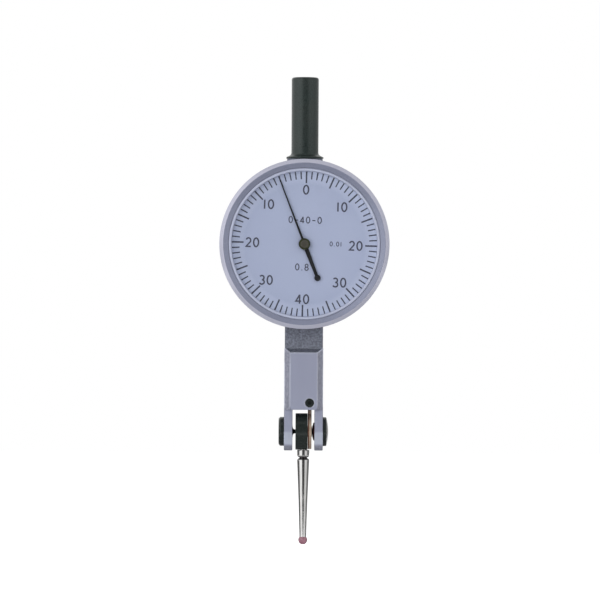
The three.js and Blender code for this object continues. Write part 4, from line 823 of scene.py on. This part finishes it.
def buildForkBody():
    n, s = named(nose), named(setScrew)
    d, b, root = n.prongDepth, n.endBevel, n.root + n.prongRoot
    outline = softened([
        (-d, root), (-d, n.prongEnd + b, 1.5), (-d + b, n.prongEnd, 0.5), (d - b, n.prongEnd, 0.5),
        (d, n.prongEnd + b, 1.5), (d, root)], 6)
    prongs = []
    for side in (-1, 1):
        low, high = sorted((side * n.prongInner, side * n.half))
        prongs.append(edgesRounded(prism(outline, "X", low, high), n.prongEdge,
                                   lambda middle: middle.z < root - 0.1))
    body = joined(noseBlank(), [*prongs, edgesRounded(block(*n.tongue), 0.15)])
    cuts = [block(*corners) for corners in noseRooms.values()]
    cuts += [rod(radius, -6, 6, "X", (0, 0, z), segments) for radius, z, segments in noseBores]
    cuts.append(turned([
        (0, -5), (s.mouth, -5), (s.mouth, s.mouthStep[0]), (s.bore, s.mouthStep[1]),
        (s.bore, s.boreEnd), (0, s.boreEnd)], "Y", (s.x, 0, s.z), 48))
    for z in screwPlaces["nose"]:
        cuts.append(rod(screwKinds["nose"]["caseBore"], 2, 4, "Y", (0, 0, z), 24))
    addPiece("fork", cutFrom(body, cuts), "satinMetal", "case", ["fork_body"], flatFaces=True)

    lid = edgesRounded(block(*lidLook["corners"]), lidLook["edge"], lambda middle: middle.y > 4.2)
    holes = [rod(screwKinds["nose"]["coverBore"], 3, 5, "Y", (0, 0, z), 24) for z in screwPlaces["nose"]]
    lid = cutFrom(lid, holes)
    addPiece("nose_lid", lid, "satinMetal", "case", ["nose_cover"], flatFaces=True)

    hexagon = arcPoints(s.x, s.z, s.hexagon, s.hexagon, 0, 300, 5)
    plug = turned(softened([(0, s.rear), (s.radius, s.rear), (s.radius, s.front, s.edge),
                            (0, s.front)]), "Y", (s.x, 0, s.z), 40)
    plug = cutFrom(plug, [prism(hexagon, "Y", s.hexagonFloor, -5)])
    addPiece("set_screw", plug, "blackOxide", "case", ["adjusting_screw"])


hub = dict(radius=4.05, left=-1.76, right=0.93, bore=1.23, stylusBore=(0.735, -5, -2.1))
axleScrew = dict(headRadius=3.22, headHeight=1.2, prongOuter=4.3, prongInner=2.43, shank=1.6,
                 slotFloor=0.66, slotHalf=0.35, crownRise=24, crownRadii=(2.7, 2.2, 1.7, 1.2, 0.6, 0),
                 coneTip=[(0, 1.16), (0.73, 1.89), (0.73, 2.43)],
                 roundTip=[(0, 1.05), (0.12, 1.05), (0.45, 1.62), (0.45, 2.0, 0.15), (0.62, 2.24, 0.1),
                           (0.95, 2.36, 0.1)])
bushProfile = [(0.8, 1.96), (1.1, 1.96, 0.25), (2.0, 2.22, 0.3), (2.0, 2.43), (0.8, 2.43)]
leverPlate = dict(inner=0.97, outer=1.8, eye=3.9, top=9.8, rootHalf=0.75, topHalf=0.55, edge=0.08,
                  bore=1.23, pinBore=0.43, pinReach=9)


def pivotScrew(domed):
    p = named(axleScrew)
    inner, outer, radius = p.prongOuter, p.prongOuter + p.headHeight, p.headRadius
    seat = [(p.shank, p.prongInner), (p.shank, inner)]
    if domed:
        crown = [(r, outer - r * r / p.crownRise) for r in (radius - 0.1, *p.crownRadii)]
        head = [(radius, inner, 0.08), (radius, crown[0][1] - 0.15, 0.12), *crown]
        tip = p.coneTip
    else:
        head = [(radius, inner, 0.08), (radius, outer - 0.35, 0.12), (radius - 0.35, outer, 0.15), (0, outer)]
        tip = p.roundTip
    body = turned(softened(tip + seat + head), "X", (0, 0, 0), 72)
    slot = block((inner + p.slotFloor, -p.slotHalf, -5), (outer + 1, p.slotHalf, 5))
    return cutFrom(body, [slot])


def buildPivot():
    right = moved(pivotScrew(True), pivotCentre)
    left = moved(pivotScrew(False), pivotCentre, Matrix.Rotation(pi, 3, "Z"))
    addPiece("axle_screw_right", right, "blackOxide", "case", ["pivot_screw_right"])
    addPiece("axle_screw_left", left, "blackOxide", "case", ["pivot_screw_left"])
    bush = turned(softened(bushProfile, 5), "X", pivotCentre, 56)
    addPiece("bronze_bush", bush, "bushBronze", "case", ["pivot_bush"])

    h = named(hub)
    profile = [(h.bore, h.left), (h.radius, h.left, 0.14), (h.radius, h.right, 0.1), (h.bore, h.right)]
    drum = cutFrom(turned(softened(profile), "X", pivotCentre, 96), [rod(*h.stylusBore, "Z", pivotCentre)])
    addPiece("hub_drum", drum, "blackOxide", "stylus", ["stylus_hub"], flatFaces=True)

    p = named(leverPlate)
    rootAngle = inDegrees(asin(p.rootHalf / p.eye))
    outline = arcPoints(0, 0, p.eye, p.eye, 90 + rootAngle, 450 - rootAngle, 48)
    outline += [(p.topHalf, p.top), (-p.topHalf, p.top)]
    plate = edgesRounded(prism(outline, "X", p.inner, p.outer), p.edge, segments=2)
    bores = [rod(p.bore, 1, 3, "X", segments=40), rod(p.pinBore, 1, 3, "X", (0, 0, p.pinReach), 24)]
    addPiece("lever_plate", moved(cutFrom(plate, bores), pivotCentre), "leverBrass", "lever",
             ["lever"], flatFaces=True)


contact = dict(top=-2.15, neckTop=-4.08, neckRadius=1.35, neckLength=1.68, grooveRadius=0.86,
               grooveWidth=0.16, waist=(0.98, -15.5), endRadius=0.74, stub=0.7, ballAt=-24.06, ball=1,
               ballSeat=0.5, ballGap=0.02)


def buildStylus():
    c = named(contact)
    neckEnd = c.neckTop - c.neckLength
    bodyTop = neckEnd - c.grooveWidth
    end = c.ballAt + c.ballSeat
    groove, turn = c.grooveRadius, c.neckRadius - c.grooveRadius
    neckSide = arcPoints(groove, neckEnd + turn, turn, turn, 0, -90, 10)
    bodySide = arcPoints(groove, bodyTop - turn, turn, turn, 90, 0, 10)
    profile = softened([
        (0, c.top), (c.stub, c.top), (c.stub, c.neckTop), (c.neckRadius, c.neckTop, 0.12),
        *neckSide, *bodySide, (*c.waist, 1.0), (c.endRadius, end), (0, end)], 5)
    shank = turned(profile, "Z", pivotCentre, 96)
    cup = bmesh.new()
    bmesh.ops.create_uvsphere(cup, u_segments=48, v_segments=24, radius=c.ball + c.ballGap)
    seat = moved(meshOf(cup), (0, 0, pivotCentre[2] + c.ballAt))
    shank = cutFrom(shank, [seat])
    addPiece("contact_point", shank, "chrome", "stylus", ["stylus"], crease=45)
    dome = arcPoints(0, c.ballAt, c.ball, c.ball, -90, 90, 30)
    ball = turned(dome, "Z", pivotCentre, 64)
    addPiece("ruby_ball", ball, "ballStone", "stylus", ["ball_tip"], crease=60)


buildStem()
buildHeadCase()
print("stem and case built")
buildRearCover()
buildScrews()
print("cover and screws built")
buildBezel()
buildDial()
buildPointer()
print("bezel, dial and pointer built")
buildForkBody()
buildPivot()
buildStylus()
print("fork, pivot and stylus built")

keptNodes = dict(
    brass=["movement_plate", "hairspring_stud", "arbor_bridge_left", "arbor_bridge_right", "centre_cock",
           "crown_gear", "hairspring_collet", "sector_gear", "sector_bearing_left", "sector_bearing_right"],
    screwSteel=["plate_screw_1", "plate_screw_2", "plate_screw_3", "bridge_screw_left", "bridge_screw_right",
                "cock_screw", "bezel_retainer", "cross_arbor", "centre_arbor", "sector_arbor", "lever_pin",
                "pivot_axle"],
    springSteel=["hairspring"],
    bearingStone=["cross_bearing_left", "cross_bearing_right", "centre_bearing_rear", "centre_bearing_front"])
for finishName, names in keptNodes.items():
    for name in names:
        for place in cadNodes[name].material_slots:
            place.material = finish[finishName]
print("kept nodes dressed:", sum(len(names) for names in keptNodes.values()))


photo = dict(pixels=600, mmPerPixel=1 / 4.507, middle=(-0.91, -49.34), roll=0.32, distance=900, sensor=36)
studio = dict(
    floor=-140, floorHalf=1500, floorTones=((246, 246, 247), (240, 240, 241)), floorGlow=0.45,
    worldLight=0.72, aim=(0, 0, -50),
    lamps=[  # place, size in mm, power in watts
        ("key", (-435, -695, 40), (900, 900), 4.6), ("fill", (460, -480, 60), (380, 380), 0.2),
        ("top", (0, -80, 520), (420, 300), 0.3), ("back", (60, 520, 160), (420, 420), 1.3)],
    walls=[  # degrees round from the camera, lowest and highest place, brightness
        ("leftWall", (-78, -22), (-139, 350), 1.15), ("frontWall", (-22, 28), (-139, 350), 0.08),
        ("rightWall", (28, 78), (-139, 260), 0.8), ("rearRightWall", (78, 155), (-139, -45), 0.2),
        ("rearLeftWall", (-165, -78), (-139, -45), 0.16), ("highRightWall", (78, 155), (-45, 350), 0.62),
        ("highLeftWall", (-165, -78), (-45, 350), 0.95)],
    wallReach=320, wallStep=3,
    cards=[("topCard", 300, 350, 0.4), ("lowCard", 200, -139, 0.22)])  # half size, height, brightness


def buildCamera():
    data = bpy.data.cameras.new("camera")
    data.sensor_width = photo["sensor"]
    data.lens = photo["sensor"] * photo["distance"] / (photo["pixels"] * photo["mmPerPixel"])
    data.clip_start, data.clip_end = 0.01, 10
    camera = addObject("camera", data)
    x, z = photo["middle"]
    camera.location = (x * mm, -photo["distance"] * mm, z * mm)
    level = Matrix.Rotation(radians(90), 3, "X")
    camera.rotation_euler = (level @ Matrix.Rotation(radians(photo["roll"]), 3, "Z")).to_euler()
    bpy.context.scene.camera = camera


def buildLamps():
    for name, place, size, power in studio["lamps"]:
        data = bpy.data.lights.new(name, "AREA")
        data.shape = "RECTANGLE"
        data.size, data.size_y = size[0] * mm, size[1] * mm
        data.energy = power
        lamp = addObject(name, data)
        lamp.location = Vector(place) * mm
        lamp.rotation_euler = (Vector(studio["aim"]) - Vector(place)).to_track_quat("-Z", "Y").to_euler()
        lamp.visible_camera = False
        lamp.visible_glossy = False


def levelSheet(half, height):
    build = bmesh.new()
    corners = [(-half, -half), (half, -half), (half, half), (-half, half)]
    build.faces.new([build.verts.new((x, y, height)) for x, y in corners])
    return meshOf(build)


def addStage(name, mesh, material):
    mesh.transform(Matrix.Scale(mm, 4))
    mesh.materials.append(material)
    thing = addObject(name, mesh)
    return thing


def addCard(name, mesh, brightness):
    # a card that shows in polished metal and lights nothing
    material, tree, light = newMaterial(name, "Emission")
    light.inputs["Color"].default_value = (1, 1, 1, 1)
    light.inputs["Strength"].default_value = brightness
    card = addStage(name, mesh, material)
    for unseen in ("camera", "diffuse", "transmission", "volume_scatter", "shadow"):
        setattr(card, "visible_" + unseen, False)


def buildCards():
    reach = studio["wallReach"]
    for name, (first, last), (low, high), brightness in studio["walls"]:
        build = bmesh.new()
        steps = round((last - first) / studio["wallStep"])
        curve = arcPoints(0, 0, reach, reach, first - 90, last - 90, steps)
        columns = [[build.verts.new((x, y, z)) for z in (low, high)] for x, y in curve]
        for one, two in zip(columns, columns[1:]):
            build.faces.new([one[0], two[0], two[1], one[1]])
        addCard(name, meshOf(build), brightness)
    for name, half, height, brightness in studio["cards"]:
        addCard(name, levelSheet(half, height), brightness)


def shownRays(tree):
    # 1 for rays from the camera and for those seen in metal or through glass
    path = addNode(tree, "LightPath").outputs
    seen = combined(tree, "MAXIMUM", path["Is Camera Ray"], path["Is Glossy Ray"])
    return combined(tree, "MAXIMUM", seen, path["Is Transmission Ray"])


def buildSurroundings():
    world = bpy.data.worlds.new("world")
    bpy.context.scene.world = world
    world.use_nodes = True
    tree = world.node_tree
    sky = tree.nodes["Background"]
    sky.inputs["Color"].default_value = (1, 1, 1, 1)
    tree.links.new(ranged(tree, shownRays(tree), studio["worldLight"], 1, 0, 1), sky.inputs["Strength"])

    material, tree, shader = newMaterial("floorPaper")
    paper = mixed(tree, ranged(tree, noiseNode(tree, 60, 3), 0, 0.3), *studio["floorTones"])
    tree.links.new(paper, shader.inputs["Base Color"])
    shader.inputs["Roughness"].default_value = 0.9
    # what is seen of the floor goes to white, less the shadow on it
    shader.inputs["Emission Color"].default_value = (1, 1, 1, 1)
    glow = combined(tree, "MULTIPLY", shownRays(tree), studio["floorGlow"])
    tree.links.new(glow, shader.inputs["Emission Strength"])
    addStage("floor", levelSheet(studio["floorHalf"], studio["floor"]), material)


buildCamera()
buildLamps()
buildCards()
buildSurroundings()
bpy.context.scene.view_settings.view_transform = "Standard"
print("camera, lamps and floor ready")
